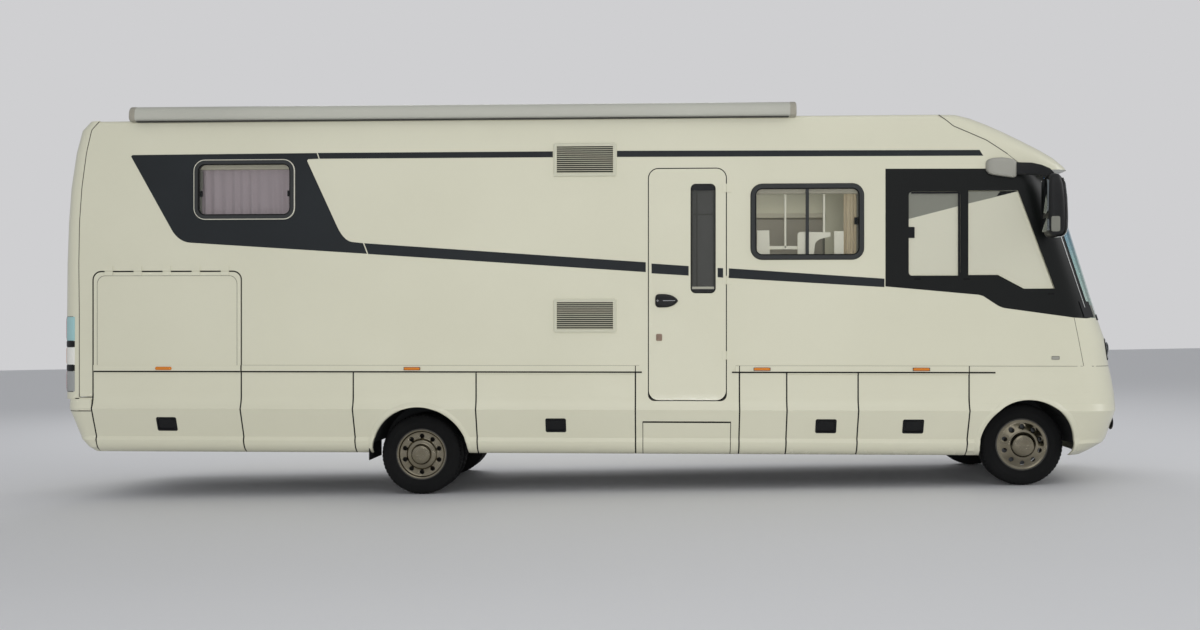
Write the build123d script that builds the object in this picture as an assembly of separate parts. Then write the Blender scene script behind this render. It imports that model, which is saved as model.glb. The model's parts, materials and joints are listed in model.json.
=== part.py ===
from build123d import *
from math import acos, asin, atan, cos, degrees, pi, radians, sin, sqrt, tan
import os

# Motorhome on a light-truck chassis, all sizes in millimetres.
# The body is drawn level: +X forward, +Y left, +Z up, the road under the rear wheels at Z = 0.
# It parks nose-down, so at export every piece is turned by one small rake about the rear axle.

# Stance and wheels
WHEELBASE = 5100.0
REAR_AXLE_X = -1466.0
FRONT_RISE = 100.0          # front axle above the rear axle while the body is drawn level
TYRE_RADIUS = 345.0
TYRE_WIDTH = 195.0
BEAD_RADIUS = 203.0
FRONT_TRACK = 1690.0
REAR_TRACK = 1560.0         # between the middles of the two twin pairs
TWIN_PITCH = 236.0
KINGPIN_Y = FRONT_TRACK / 2 - 130.0
HOLE_COUNT = 10

# Body envelope
WALL_HALF = 1142.0
WALL = 35.0
SKIN = 22.0
GLASS = 8.0
ROOF_TOP = 3204.0
ROOF = 38.0
BELT_TOP = 1112.0
BELT_BOTTOM = 1058.0
RAIL_PROUD = 8.0
FLOOR_TOP = 1080.0
FLOOR = 45.0
GAP = 12.0                  # shut line round a door
BED_GAP = 0.3               # running clearance at pins and seats
GARAGE_CORNER = 73.0        # upper corners of the garage doors

# Section of the lower panels: height, and distance out from the wall's skin
FLARE_Z = 880.0             # flat above this, then a hollow flare down to the ridge
FLARE_MID = (800.0, 7.0)
RIDGE_Z, RIDGE_OUT = 742.0, 32.0
CREASE_Z, CREASE_OUT = 500.0, -66.0
STEP_Z, STEP_OUT = 468.0, -56.0
ROLL_MID = (402.0, -86.0)
SKIRT_BOTTOM, BOTTOM_OUT = 360.0, -150.0

# Stations along the side, from the rear
GARAGE_REAR = -4275.0
GARAGE_FRONT = -2984.0
GARAGE_TOP = 1914.0
ARCH_PANEL_REAR = -2019.0
ARCH_PANEL_FRONT = -970.0
LOCKER_FRONT = 376.0
ENTRY_FRONT = 1246.0
LOCKER_B_REAR = 1639.0
LOCKER_B_FRONT = 2230.0
WING_REAR = 3142.0
CAB_REAR = 2451.0
CAP_REAR = 2892.0

# Door, windows and vents
DOOR_REAR, DOOR_FRONT = 489.0, 1133.0
DOOR_BOTTOM, DOOR_TOP = 824.0, 2763.0
DOOR_RADIUS = 80.0
DOOR_GLASS = (841.0, 1045.0, DOOR_BOTTOM + 898.0, DOOR_TOP - 129.0)
LOUNGE = (1341.0, 2276.0, 2001.0, 2631.0)
BEDROOM = (-3391.0, -2522.0, 2356.0, 2863.0)
VENT_X = (-312.0, 214.0)
VENT_Z = ((2705.0, 2983.0), (1391.0, 1672.0))
FRAME_RADIUS = 95.0

# Nose in plan
NOSE_RADIUS = 3500.0
CORNER_RADIUS = 350.0
SCREEN_BOTTOM = 1513.0
SCREEN_TOP = 2738.0

FRONT_AXLE_X = REAR_AXLE_X + WHEELBASE
REAR_AXLE_Z = TYRE_RADIUS
FRONT_AXLE_Z = TYRE_RADIUS + FRONT_RISE
RAKE = degrees(atan(FRONT_RISE / WHEELBASE))
REAR_ARCH = 415.0
FRONT_ARCH = 388.0

os.makedirs("parts", exist_ok=True)
nodes = {}


def box(x, y, z):
    """A block between the two values of each pair."""
    size = [b - a for a, b in (x, y, z)]
    middle = [(a + b) / 2 for a, b in (x, y, z)]
    return Pos(*middle) * Box(*size)


def slab(points, y):
    """An outline of (x, z) points carried from y[0] to y[1]."""
    face = make_face(Polyline(*[(px, y[0], pz) for px, pz in points], close=True))
    return extrude(face, amount=y[1] - y[0], dir=(0, 1, 0))


def window(x, z, radius, y):
    """A block with rounded corners seen from the side."""
    face = Plane.XZ * Pos((x[0] + x[1]) / 2, (z[0] + z[1]) / 2) * RectangleRounded(
        x[1] - x[0], z[1] - z[0], radius)
    return Pos(0, y[0], 0) * extrude(face, amount=y[1] - y[0], dir=(0, 1, 0))


def drum(x, y, z, radius):
    """A cylinder along Y from y[0] to y[1]."""
    return Pos(x, (y[0] + y[1]) / 2, z) * Rot(90, 0, 0) * Cylinder(radius, abs(y[1] - y[0]))


def mirrored(shape):
    return mirror(shape, about=Plane.XZ)


def on_side(shape, side):
    """Shapes are drawn on the right, at -Y; side 1 gives the left one."""
    return shape if side < 0 else mirrored(shape)


# Side skirt: one section for all lower panels and locker doors
def skirt(x, top, thickness=SKIN):
    """The lower panel's section carried from x[0] to x[1], right side."""

    def skin(shift):
        def at(z, out):
            return (x[0], -WALL_HALF - out + shift, z)

        flare, ridge, crease = at(FLARE_Z, 0.0), at(RIDGE_Z, RIDGE_OUT), at(CREASE_Z, CREASE_OUT)
        step, foot = at(STEP_Z, STEP_OUT), at(SKIRT_BOTTOM, BOTTOM_OUT)
        return [Line(at(top, 0.0), flare), ThreePointArc(flare, at(*FLARE_MID), ridge), Line(ridge, crease),
                Line(crease, step), ThreePointArc(step, at(*ROLL_MID), foot)]

    outer, inner = skin(0.0), skin(thickness)
    ends = [Line(outer[0] @ 0, inner[0] @ 0), Line(outer[-1] @ 1, inner[-1] @ 1)]
    return extrude(make_face(outer + inner + ends), amount=x[1] - x[0], dir=(1, 0, 0))


# Nose sections: height, foremost X, half width
NOSE_ROWS = [(BELT_TOP, 4480.0, WALL_HALF), (1329.0, 4448.0, WALL_HALF),
             (SCREEN_BOTTOM, 4385.0, WALL_HALF), (2312.0, 4137.0, WALL_HALF), (2564.0, 4045.0, WALL_HALF),
             (SCREEN_TOP, 3960.0, WALL_HALF), (2845.0, 3902.0, WALL_HALF), (2929.0, 3833.0, WALL_HALF),
             (3068.0, 3650.0, WALL_HALF), (3250.0, 3270.0, WALL_HALF)]
BUMPER_ROWS = [(SKIRT_BOTTOM, 4262.0, WALL_HALF + BOTTOM_OUT), (ROLL_MID[0], 4330.0, WALL_HALF + ROLL_MID[1]),
               (STEP_Z, 4436.0, WALL_HALF + STEP_OUT), (CREASE_Z, 4460.0, WALL_HALF + CREASE_OUT),
               (RIDGE_Z, 4534.0, WALL_HALF + RIDGE_OUT), (FLARE_MID[0], 4532.0, WALL_HALF + FLARE_MID[1]),
               (FLARE_Z, 4526.0, WALL_HALF), (1028.0, 4500.0, WALL_HALF), (BELT_TOP, 4480.0, WALL_HALF)]


def ring(z, foremost, half, rear, inset=0.0):
    """Level section of the nose: two flat sides, two corner arcs and a wide front arc."""
    spread = asin((half - CORNER_RADIUS) / (NOSE_RADIUS - CORNER_RADIUS))
    centre = foremost - NOSE_RADIUS
    front = NOSE_RADIUS - inset
    corner = CORNER_RADIUS - inset
    side = half - inset
    kx = centre + (NOSE_RADIUS - CORNER_RADIUS) * cos(spread)
    ky = (NOSE_RADIUS - CORNER_RADIUS) * sin(spread)
    middle = (spread + pi / 2) / 2

    def on_corner(angle, sign):
        return (kx + corner * cos(angle), sign * (ky + corner * sin(angle)), z)

    return Wire([Line((rear, -side, z), (kx, -side, z)),
                 ThreePointArc((kx, -side, z), on_corner(middle, -1), on_corner(spread, -1)),
                 ThreePointArc(on_corner(spread, -1), (centre + front, 0, z), on_corner(spread, 1)),
                 ThreePointArc(on_corner(spread, 1), on_corner(middle, 1), (kx, side, z)),
                 Line((kx, side, z), (rear, side, z)),
                 Line((rear, side, z), (rear, -side, z))])


def nose(rows, rear, inset=0.0):
    return Solid.make_loft([ring(z, x, half, rear, inset) for z, x, half in rows], ruled=True)


# Lines on the nose seen from the side, as (x, z)
CAP_SEAM = [(CAP_REAR, ROOF_TOP), (CAP_REAR + 123, 3104.0), (CAP_REAR + 393, 2985.0), (CAP_REAR + 564, 2871.0),
            (CAP_REAR + 658, 2797.0), (CAP_REAR + 860, SCREEN_TOP)]
SCREEN_EDGE = [CAP_SEAM[-1], (4165.0, SCREEN_BOTTOM)]
MASK_SEAM = [(4001.0, SCREEN_BOTTOM), (4078.0, BELT_TOP)]
FAR = 5200.0
WIDE = (-1500.0, 1500.0)

nose_wall = nose(NOSE_ROWS, CAB_REAR - 100) - nose(NOSE_ROWS, CAB_REAR - 200, WALL)
nose_glass = nose(NOSE_ROWS, CAB_REAR - 100) - nose(NOSE_ROWS, CAB_REAR - 200, GLASS)

# Cab sides, from behind the side windows to the windscreen and the nose moulding
CAB_PANE_A = [(2647.0, 1862.0), (2647.0, 2562.0), (3070.0, 2562.0), (3070.0, 1862.0)]
CAB_PANE_B = [(3136.0, 1866.0), (3136.0, 2568.0), (3540.0, 2568.0), (3840.0, 1755.0),
              (3592.0, 1752.0), (3380.0, 1866.0)]
PANE_CLEAR = 0.3

cab_outline = [(CAB_REAR, BELT_TOP), (CAB_REAR, ROOF_TOP - ROOF), (CAP_REAR, ROOF_TOP - ROOF)]
cab_outline += CAP_SEAM[1:] + [SCREEN_EDGE[1], MASK_SEAM[0], MASK_SEAM[1]]
cab_side = nose_wall & slab(cab_outline, (-1500.0, -500.0))
for pane in (CAB_PANE_A, CAB_PANE_B):
    cab_side -= slab(pane, (-1500.0, -900.0))

mask_outline = [MASK_SEAM[1], MASK_SEAM[0], (FAR, SCREEN_BOTTOM), (FAR, BELT_TOP)]
front_mask = nose_wall & slab(mask_outline, WIDE)
HEADLAMP_Y = (620.0, 960.0)
HEADLAMP_Z = (1160.0, 1340.0)
lamp_cut = box((3900.0, FAR), HEADLAMP_Y, HEADLAMP_Z)
lamp_cut += mirrored(lamp_cut)
nodes["front_mask"] = front_mask - lamp_cut
lamp_body = box((3900.0, FAR), (HEADLAMP_Y[0] + BED_GAP, HEADLAMP_Y[1] - BED_GAP),
                (HEADLAMP_Z[0] + BED_GAP, HEADLAMP_Z[1] - BED_GAP))
lamp_body += mirrored(lamp_body)
nodes["headlamps"] = nose_wall & lamp_body

screen_outline = [SCREEN_EDGE[0], SCREEN_EDGE[1], (FAR, SCREEN_BOTTOM), (FAR, SCREEN_TOP)]
nodes["windscreen"] = nose_glass & slab(screen_outline, WIDE)

# Front bumper with both front wings
bumper = nose(BUMPER_ROWS, WING_REAR + GAP / 2) - nose(BUMPER_ROWS, WING_REAR - 100, SKIN)
bumper -= drum(FRONT_AXLE_X, WIDE, FRONT_AXLE_Z, FRONT_ARCH)
bumper -= box((WING_REAR - 50, FRONT_AXLE_X), (-900.0, 900.0), (0.0, 2000.0))
nodes["front_bumper"] = bumper

# Roof cap above the cab: distance from its rear edge, top height, edge radius
CAP_ROWS = [(0.0, ROOF_TOP, 36.0), (150.0, 3208.0, 80.0), (272.0, 3182.0, 105.0), (415.0, 3130.0, 125.0),
            (555.0, 3070.0, 140.0), (700.0, 3000.0, 150.0), (850.0, 2922.0, 150.0), (960.0, 2853.0, 140.0),
            (1040.0, 2782.0, 130.0), (1110.0, 2690.0, 120.0)]
CAP_BASE = 2450.0


def arch(x, top, radius, inset):
    """Upright section of the roof cap with rounded shoulders."""
    half = WALL_HALF - inset
    top = top - inset
    radius = max(radius - inset, 6.0)
    r45 = radius * (1 - cos(pi / 4))
    return Wire([Line((x, -half, CAP_BASE), (x, -half, top - radius)),
                 ThreePointArc((x, -half, top - radius), (x, -half + r45, top - r45), (x, -half + radius, top)),
                 Line((x, -half + radius, top), (x, half - radius, top)),
                 ThreePointArc((x, half - radius, top), (x, half - r45, top - r45), (x, half, top - radius)),
                 Line((x, half, top - radius), (x, half, CAP_BASE)),
                 Line((x, half, CAP_BASE), (x, -half, CAP_BASE))])


def cap(inset, reach):
    """Arched roof form that the nose sections round off at the corners."""
    rows = [arch(CAP_REAR + x, top, radius, inset) for x, top, radius in CAP_ROWS]
    return Solid.make_loft(rows, ruled=True) & nose(NOSE_ROWS[2:], CAP_REAR - reach, inset)


cap_region = CAP_SEAM + [(FAR, SCREEN_TOP), (FAR, ROOF_TOP + 100), (CAP_REAR, ROOF_TOP + 100)]
nodes["roof_cap"] = (cap(0, 50) - cap(SKIN, 100)) & slab(cap_region, WIDE)
# The cab side rises into the corner between the roof's front edge and the cap's seam
cap_corner = [(CAP_REAR, ROOF_TOP - ROOF), (CAP_REAR, ROOF_TOP), CAP_SEAM[1]]
cab_side += (cap(0, 50) - cap(WALL, 100)) & slab(cap_corner, (-1500.0, -500.0))
nodes["cab_side_right"] = cab_side
nodes["cab_side_left"] = mirrored(cab_side)

# Rear moulding: height, rearmost X, corner radius
REAR_ROWS = [(830.0, -4557.0, 150.0), (1557.0, -4557.0, 146.0), (1982.0, -4550.0, 139.0),
             (2338.0, -4533.0, 128.0), (2638.0, -4510.0, 126.0), (2940.0, -4460.0, 117.0),
             (3130.0, -4404.0, 106.0), (ROOF_TOP, -4330.0, 100.0)]
REAR_REACH = 12.0           # flat stretch of the moulding before the side wall starts


def rear_ring(z, rearmost, radius, front, inset=0.0, half=WALL_HALF):
    """Level section of the rear moulding, open end at the front."""
    r = radius - inset
    side = half - inset
    x0 = rearmost + inset
    c = r * (1 - cos(pi / 4))
    return Wire([Line((front, -side, z), (x0 + r, -side, z)),
                 ThreePointArc((x0 + r, -side, z), (x0 + c, -side + c, z), (x0, -side + r, z)),
                 Line((x0, -side + r, z), (x0, side - r, z)),
                 ThreePointArc((x0, side - r, z), (x0 + c, side - c, z), (x0 + r, side, z)),
                 Line((x0 + r, side, z), (front, side, z)),
                 Line((front, side, z), (front, -side, z))])


def rear_form(rows, front, inset=0.0):
    return Solid.make_loft([rear_ring(z, x, r, front, inset) for z, x, r in rows], ruled=True)


rear_seam = [(x + r + REAR_REACH, z) for z, x, r in REAR_ROWS]
rear_region = rear_seam + [(-5000.0, ROOF_TOP), (-5000.0, 830.0)]
rear_wall = (rear_form(REAR_ROWS, -4000.0) - rear_form(REAR_ROWS, -3900.0, WALL)) & slab(rear_region, WIDE)
rear_wall += box((-4330.0 + WALL, rear_seam[-1][0]), (-WALL_HALF + WALL, WALL_HALF - WALL), (ROOF_TOP - ROOF, ROOF_TOP))
TAIL_LAMP_Z = (880.0, 1530.0)
TAIL_LAMP_DEEP = 20.0
lamp_zone = box((-4600.0, -4450.0), (-1200.0, -940.0), TAIL_LAMP_Z)
lamp_zone += mirrored(lamp_zone)
lamp_seat = lamp_zone - rear_form(REAR_ROWS, -4000.0, TAIL_LAMP_DEEP)
rear_wall -= lamp_seat
nodes["rear_wall"] = rear_wall
tail = (lamp_zone & rear_form(REAR_ROWS, -4000.0)) - rear_form(REAR_ROWS, -4000.0, TAIL_LAMP_DEEP)

# Rear bumper
BUMPER_BACK = [(SKIRT_BOTTOM, -4334.0, 60.0), (ROLL_MID[0], -4375.0, 75.0), (STEP_Z, -4430.0, 95.0),
               (CREASE_Z, -4450.0, 105.0), (RIDGE_Z, -4517.0, 140.0), (822.0, -4518.0, 140.0)]
BACK_HALF = [WALL_HALF + out for out in (BOTTOM_OUT, ROLL_MID[1], STEP_OUT, CREASE_OUT, RIDGE_OUT, RIDGE_OUT - 10)]


def back_form(front, inset=0.0):
    rings = [rear_ring(z, x, r, front, inset, half) for (z, x, r), half in zip(BUMPER_BACK, BACK_HALF)]
    return Solid.make_loft(rings, ruled=True)


bumper_front = GARAGE_REAR - GAP / 2
CHASSIS_REAR = -4300.0
bumper_ties = box((-4440.0, CHASSIS_REAR), (-430.0, -360.0), (400.0, 500.0))
bumper_ties += mirrored(bumper_ties)
nodes["rear_bumper"] = (back_form(bumper_front) - back_form(bumper_front + 100, SKIN)
                        + bumper_ties)

# Side walls, roof and awning case
wall_outline = [(x, z) for x, z in rear_seam if z > BELT_BOTTOM]
wall_outline[-1] = (rear_seam[-1][0], ROOF_TOP - ROOF)
wall_outline = [(rear_seam[0][0], BELT_BOTTOM)] + wall_outline
wall_outline += [(CAB_REAR, ROOF_TOP - ROOF), (CAB_REAR, BELT_BOTTOM)]
wall_y = (-WALL_HALF, -WALL_HALF + WALL)
wall = slab(wall_outline, wall_y)


def garage_leaf(clear, y, foot):
    """Upper part of a garage door, with rounded corners at the top, grown by a clearance."""
    x = (GARAGE_REAR - clear, GARAGE_FRONT + clear)
    leaf = window(x, (BELT_BOTTOM - 300.0, GARAGE_TOP + clear), GARAGE_CORNER + clear, y)
    return (leaf & box(x, WIDE, (BELT_BOTTOM, 3000.0))) + box(x, y, (foot, BELT_BOTTOM))


wall -= garage_leaf(GAP / 2, (-1300.0, -1000.0), 0.0)


def opening(x0, x1, z0, z1, radius, y=(-1300.0, -1000.0), grow=0.0):
    return window((x0 - grow, x1 + grow), (z0 - grow, z1 + grow), radius + grow, y)


FRAME = 28.0
lounge_left = (-200.0, 735.0, LOUNGE[2], LOUNGE[3])
window_table = [(LOUNGE, -1), (BEDROOM, -1), (LOUNGE, 1), (BEDROOM, 1), (lounge_left, 1)]
right = wall
left = wall
for (x0, x1, z0, z1), side in window_table:
    cut = opening(x0 + FRAME, x1 - FRAME, z0 + FRAME, z1 - FRAME, FRAME_RADIUS - FRAME)
    if side < 0:
        right -= cut
    else:
        left -= cut
right -= opening(DOOR_REAR, DOOR_FRONT, DOOR_BOTTOM, DOOR_TOP, DOOR_RADIUS, grow=GAP / 2 + 2)
for z in VENT_Z:
    right -= box((VENT_X[0] + 20, VENT_X[1] - 20), (-1300.0, -1000.0), (z[0] + 20, z[1] - 20))

roof_front, roof_rear = CAP_REAR, rear_seam[-1][0]
roof = box((roof_rear, roof_front), (-WALL_HALF, WALL_HALF), (ROOF_TOP - ROOF, ROOF_TOP))
ROOF_EDGE = 30.0
roof = fillet(roof.edges().filter_by(Axis.X).group_by(Axis.Z)[-1], ROOF_EDGE)
# The side wall fills the corner between the roof's rear end and the rear moulding's seam
roof_corner = slab([rear_seam[-2], rear_seam[-1], (roof_rear, ROOF_TOP - ROOF)], wall_y)
roof_form = box((roof_rear - 200, roof_front), (-WALL_HALF, WALL_HALF), (ROOF_TOP - 200, ROOF_TOP))
roof_corner &= fillet(roof_form.edges().filter_by(Axis.X).group_by(Axis.Z)[-1], ROOF_EDGE)
right += roof_corner
left += roof_corner
HATCHES = [(-3100.0, 0.0, 700.0), (-900.0, 250.0, 400.0), (1750.0, 0.0, 700.0)]
HATCH_RISE = 70.0
hatches = []
for x, y, size in HATCHES:
    half = size / 2
    roof -= box((x - half + 30, x + half - 30), (y - half + 30, y + half - 30), (3000.0, 3300.0))
    lid = box((x - half, x + half), (y - half, y + half), (ROOF_TOP, ROOF_TOP + HATCH_RISE))
    lid = chamfer(lid.edges().group_by(Axis.Z)[-1], 25.0)
    hatches.append(lid)
nodes["roof_panel"] = roof

AWNING_X = (-3939.0, 1714.0)
AWNING_TOP = 3320.0
awning_face = make_face(Polyline(
    (0, -1205, 3235), (0, -1195, 3200), (0, -1165, 3190), (0, -WALL_HALF, 3190), (0, -WALL_HALF, ROOF_TOP),
    (0, -1060, ROOF_TOP), (0, -1060, 3270), (0, -1095, 3312), (0, -1130, AWNING_TOP), (0, -1175, 3308), close=True))
nodes["awning_case"] = Pos(AWNING_X[0], 0, 0) * extrude(awning_face, amount=AWNING_X[1] - AWNING_X[0], dir=(1, 0, 0))

# Windows: a frame ring and a pane in each opening
frames = []
panes = []
for (x0, x1, z0, z1), side in window_table:
    rim = opening(x0, x1, z0, z1, FRAME_RADIUS, (-WALL_HALF - 14, -WALL_HALF))
    rim = fillet(rim.edges().group_by(Axis.Y)[0], 8.0)
    neck = opening(x0 + FRAME, x1 - FRAME, z0 + FRAME, z1 - FRAME, FRAME_RADIUS - FRAME,
                   (-WALL_HALF, -WALL_HALF + WALL), -BED_GAP)
    hole = opening(x0 + 38, x1 - 38, z0 + 38, z1 - 38, FRAME_RADIUS - 38, (-1300.0, -1000.0))
    frames.append(on_side(rim + neck - hole, side))
    pane = opening(x0 + 38, x1 - 38, z0 + 38, z1 - 38, FRAME_RADIUS - 38,
                   (-WALL_HALF - 10, -WALL_HALF - 10 + GLASS), -BED_GAP)
    panes.append(on_side(pane, side))
nodes["window_frames"] = Compound(children=frames)


def shrink(points, by):
    """The outline drawn in by a small clearance."""
    face = make_face(Polyline(*[(px, 0, pz) for px, pz in points], close=True))
    return offset(face, -by)


glass_wall = nose(NOSE_ROWS, CAB_REAR - 100, 4.0) - nose(NOSE_ROWS, CAB_REAR - 200, 4.0 + GLASS)
for pane in (CAB_PANE_A, CAB_PANE_B):
    outline = extrude(Pos(0, -1500, 0) * shrink(pane, PANE_CLEAR), amount=600, dir=(0, 1, 0))
    cab_pane = glass_wall & outline
    panes.append(cab_pane)
    panes.append(mirrored(cab_pane))
nodes["side_glass"] = Compound(children=panes)

# Vents in the wall and hatches on the roof
vents = []
SLATS = 13
SLAT = (21.0, 3.0)          # depth and thickness
SLAT_TILT = 38.0            # degrees, the outer edge low to shed rain
for z in VENT_Z:
    rim = box(VENT_X, (-WALL_HALF - 12, -WALL_HALF), z)
    rim += box((VENT_X[0] + 20 + BED_GAP, VENT_X[1] - 20 - BED_GAP), (-WALL_HALF, -WALL_HALF + 20),
               (z[0] + 20 + BED_GAP, z[1] - 20 - BED_GAP))
    inner = box((VENT_X[0] + 26, VENT_X[1] - 26), (-1300.0, -1000.0), (z[0] + 26, z[1] - 26))
    rim -= inner
    pitch = (z[1] - z[0] - 52) / SLATS
    slat = Rot(SLAT_TILT, 0, 0) * Box(VENT_X[1] - VENT_X[0] - 44, *SLAT)
    for i in range(SLATS):
        rim += Pos((VENT_X[0] + VENT_X[1]) / 2, -WALL_HALF - 1, z[0] + 26 + pitch * (i + 0.5)) * slat
    vents.append(rim)
nodes["vents_and_hatches"] = Compound(children=vents + hatches)

# Fixed lower panels with the belt rail, and the hinged ones
panel_top = BELT_BOTTOM
door_top = BELT_BOTTOM - GAP
SEAM = GAP / 2


def fixed(x0, x1):
    return skirt((x0 + SEAM, x1 - SEAM), panel_top)


def rail(x0, x1):
    return box((x0, x1), (-WALL_HALF - RAIL_PROUD, -WALL_HALF), (BELT_BOTTOM, BELT_TOP))


def rear_arch(shape):
    return shape - drum(REAR_AXLE_X, WIDE, REAR_AXLE_Z, REAR_ARCH)


STEP_X = (441.0, 1171.0)
STEP_TOP = 633.0
base_panels = [fixed(GARAGE_FRONT, ARCH_PANEL_REAR), fixed(ENTRY_FRONT, LOCKER_B_REAR)]
arch_panel = rear_arch(fixed(ARCH_PANEL_REAR, ARCH_PANEL_FRONT))
nodes["arch_panels"] = Compound(children=[arch_panel, mirrored(arch_panel)])
entry_panel = fixed(LOCKER_FRONT, ENTRY_FRONT)
PANEL_CORNER = 46.0         # sharper than the door's own corner, which swings through it
entry_panel -= opening(DOOR_REAR, DOOR_FRONT, DOOR_BOTTOM, DOOR_TOP, PANEL_CORNER, grow=GAP / 2 + 2)
entry_panel -= box((STEP_X[0] - 6, STEP_X[1] + 6), (-1300.0, -900.0), (0.0, STEP_TOP + 6))
right_rails = [rail(GARAGE_FRONT + SEAM, DOOR_REAR - 80), rail(DOOR_FRONT + 80, WING_REAR)]
left_panels = [fixed(LOCKER_FRONT, ENTRY_FRONT), fixed(LOCKER_B_REAR, LOCKER_B_FRONT), fixed(LOCKER_B_FRONT, WING_REAR)]
left_rails = [rail(GARAGE_FRONT + SEAM, WING_REAR)]
corner_posts = [skirt((-4394.0, GARAGE_REAR - SEAM), panel_top) - box((-4500.0, -4200.0), WIDE, (0.0, 830.0 + GAP))]

# Extruded hinge: a bead on the fixed side captured in an open groove on the door
BEAD = 3.0
GROOVE = 6.0
HINGE_Y = -WALL_HALF - GROOVE - 0.5
LOCKER_HINGE_Z = door_top
GARAGE_HINGE_Z = GARAGE_TOP + GAP / 2
HINGE_WEB = 2.0


def sector(radius, start, stop):
    """A pie slice in the (y, z) plane, angles in degrees from +y towards +z."""
    steps = [start + (stop - start) * i / 4 for i in range(5)]
    rim_points = [(radius * cos(radians(a)), radius * sin(radians(a))) for a in steps]
    return [(0.0, 0.0)] + rim_points


def groove(x, z, y=HINGE_Y):
    """The door's part of the hinge: a ring open over the quarter that the web sweeps."""
    place = Pos((x[0] + x[1]) / 2, y, z) * Rot(0, 90, 0)
    ring_part = place * (Cylinder(GROOVE, x[1] - x[0]) - Cylinder(BEAD + BED_GAP, x[1] - x[0] + 2))
    slot = make_face(Polyline(*[(x[0], y + sy, z + sz) for sy, sz in sector(3 * GROOVE, 66, 212)], close=True))
    ring_part -= extrude(slot, amount=x[1] - x[0], dir=(1, 0, 0))
    return ring_part + box(x, (y, -WALL_HALF), (z - GROOVE, z - BEAD - 1))


def bead(x, z, foot, y=HINGE_Y):
    """The fixed part: a round bead on a thin web that rises to the foot."""
    rod = Pos((x[0] + x[1]) / 2, y, z) * Rot(0, 90, 0) * Cylinder(BEAD, x[1] - x[0])
    return rod + box(x, (y - HINGE_WEB / 2, y + HINGE_WEB / 2), (z + BEAD - 1, foot))


# Hinged lower doors: name, side, rear station, front station
LOCKERS = [("locker_door_mid_right", -1, ARCH_PANEL_FRONT, LOCKER_FRONT),
           ("locker_door_lounge_right", -1, LOCKER_B_REAR, LOCKER_B_FRONT),
           ("locker_door_cab_right", -1, LOCKER_B_FRONT, WING_REAR),
           ("locker_door_mid_left", 1, ARCH_PANEL_FRONT, LOCKER_FRONT)]
# Handle pockets in the lower doors: rear edge, length, bottom, top, corner radius, depth
HANDLE_X = {"garage": -3721.0, "mid": -379.0, "lounge": 1884.0, "cab": 2605.0}
HANDLE = (165.0, 552.0, 662.0, 12.0, 14.0)


def pocket(place):
    long, low, high, radius, depth = HANDLE
    x = (HANDLE_X[place], HANDLE_X[place] + long)
    return window(x, (low, high), radius, (-1300.0, -1000.0)) & skirt((x[0] - 10, x[1] + 10), door_top, depth)


for name, side, x0, x1 in LOCKERS:
    leaf_x = (x0 + SEAM, x1 - SEAM)
    leaf = skirt(leaf_x, door_top) - pocket(name.split("_")[2])
    nodes[name] = on_side(leaf + groove(leaf_x, LOCKER_HINGE_Z), side)

for name, side, x0, x1 in LOCKERS:
    strip = bead((x0 + SEAM, x1 - SEAM), LOCKER_HINGE_Z, BELT_BOTTOM)
    rails_here = right_rails if side < 0 else left_rails
    for i, rail_part in enumerate(rails_here):
        span = rail_part.bounding_box()
        if span.min.X <= x0 + SEAM and span.max.X >= x1 - SEAM:
            rails_here[i] = rail_part + strip
skirt_solids = base_panels + [entry_panel] + right_rails + corner_posts
skirt_solids += [mirrored(s) for s in base_panels + left_panels + left_rails + corner_posts]
nodes["skirt_panels"] = Compound(children=skirt_solids)

GARAGE_HINGES = 5
GARAGE_HINGE_END = 140.0
GARAGE_HINGE_LONG = 70.0
garage = skirt((GARAGE_REAR + SEAM, GARAGE_FRONT - SEAM), BELT_TOP)
garage += garage_leaf(-SEAM, (-WALL_HALF, -WALL_HALF + SKIN), BELT_BOTTOM - 100.0)
garage += box((GARAGE_REAR + SEAM, GARAGE_FRONT - SEAM), (-WALL_HALF - RAIL_PROUD, -WALL_HALF), (BELT_BOTTOM, BELT_TOP))
garage -= pocket("garage")
garage_pitch = (GARAGE_FRONT - GARAGE_REAR - 2 * GARAGE_HINGE_END) / (GARAGE_HINGES - 1)
garage_hinges = [(GARAGE_REAR + GARAGE_HINGE_END + garage_pitch * i - GARAGE_HINGE_LONG / 2) for i in range(GARAGE_HINGES)]
for x in garage_hinges:
    garage += groove((x, x + GARAGE_HINGE_LONG), GARAGE_HINGE_Z)
    garage += box((x, x + GARAGE_HINGE_LONG), (HINGE_Y - 1, -WALL_HALF), (GARAGE_HINGE_Z - 40, GARAGE_HINGE_Z - BEAD - 1))
nodes["garage_door_right"] = garage
nodes["garage_door_left"] = mirrored(garage)
for x in garage_hinges:
    plate = bead((x, x + GARAGE_HINGE_LONG), GARAGE_HINGE_Z, GARAGE_HINGE_Z + 20)
    plate += box((x, x + GARAGE_HINGE_LONG), (HINGE_Y - 1, -WALL_HALF), (GARAGE_HINGE_Z + GROOVE + 2, GARAGE_HINGE_Z + 40))
    right += plate
    left += plate


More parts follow.
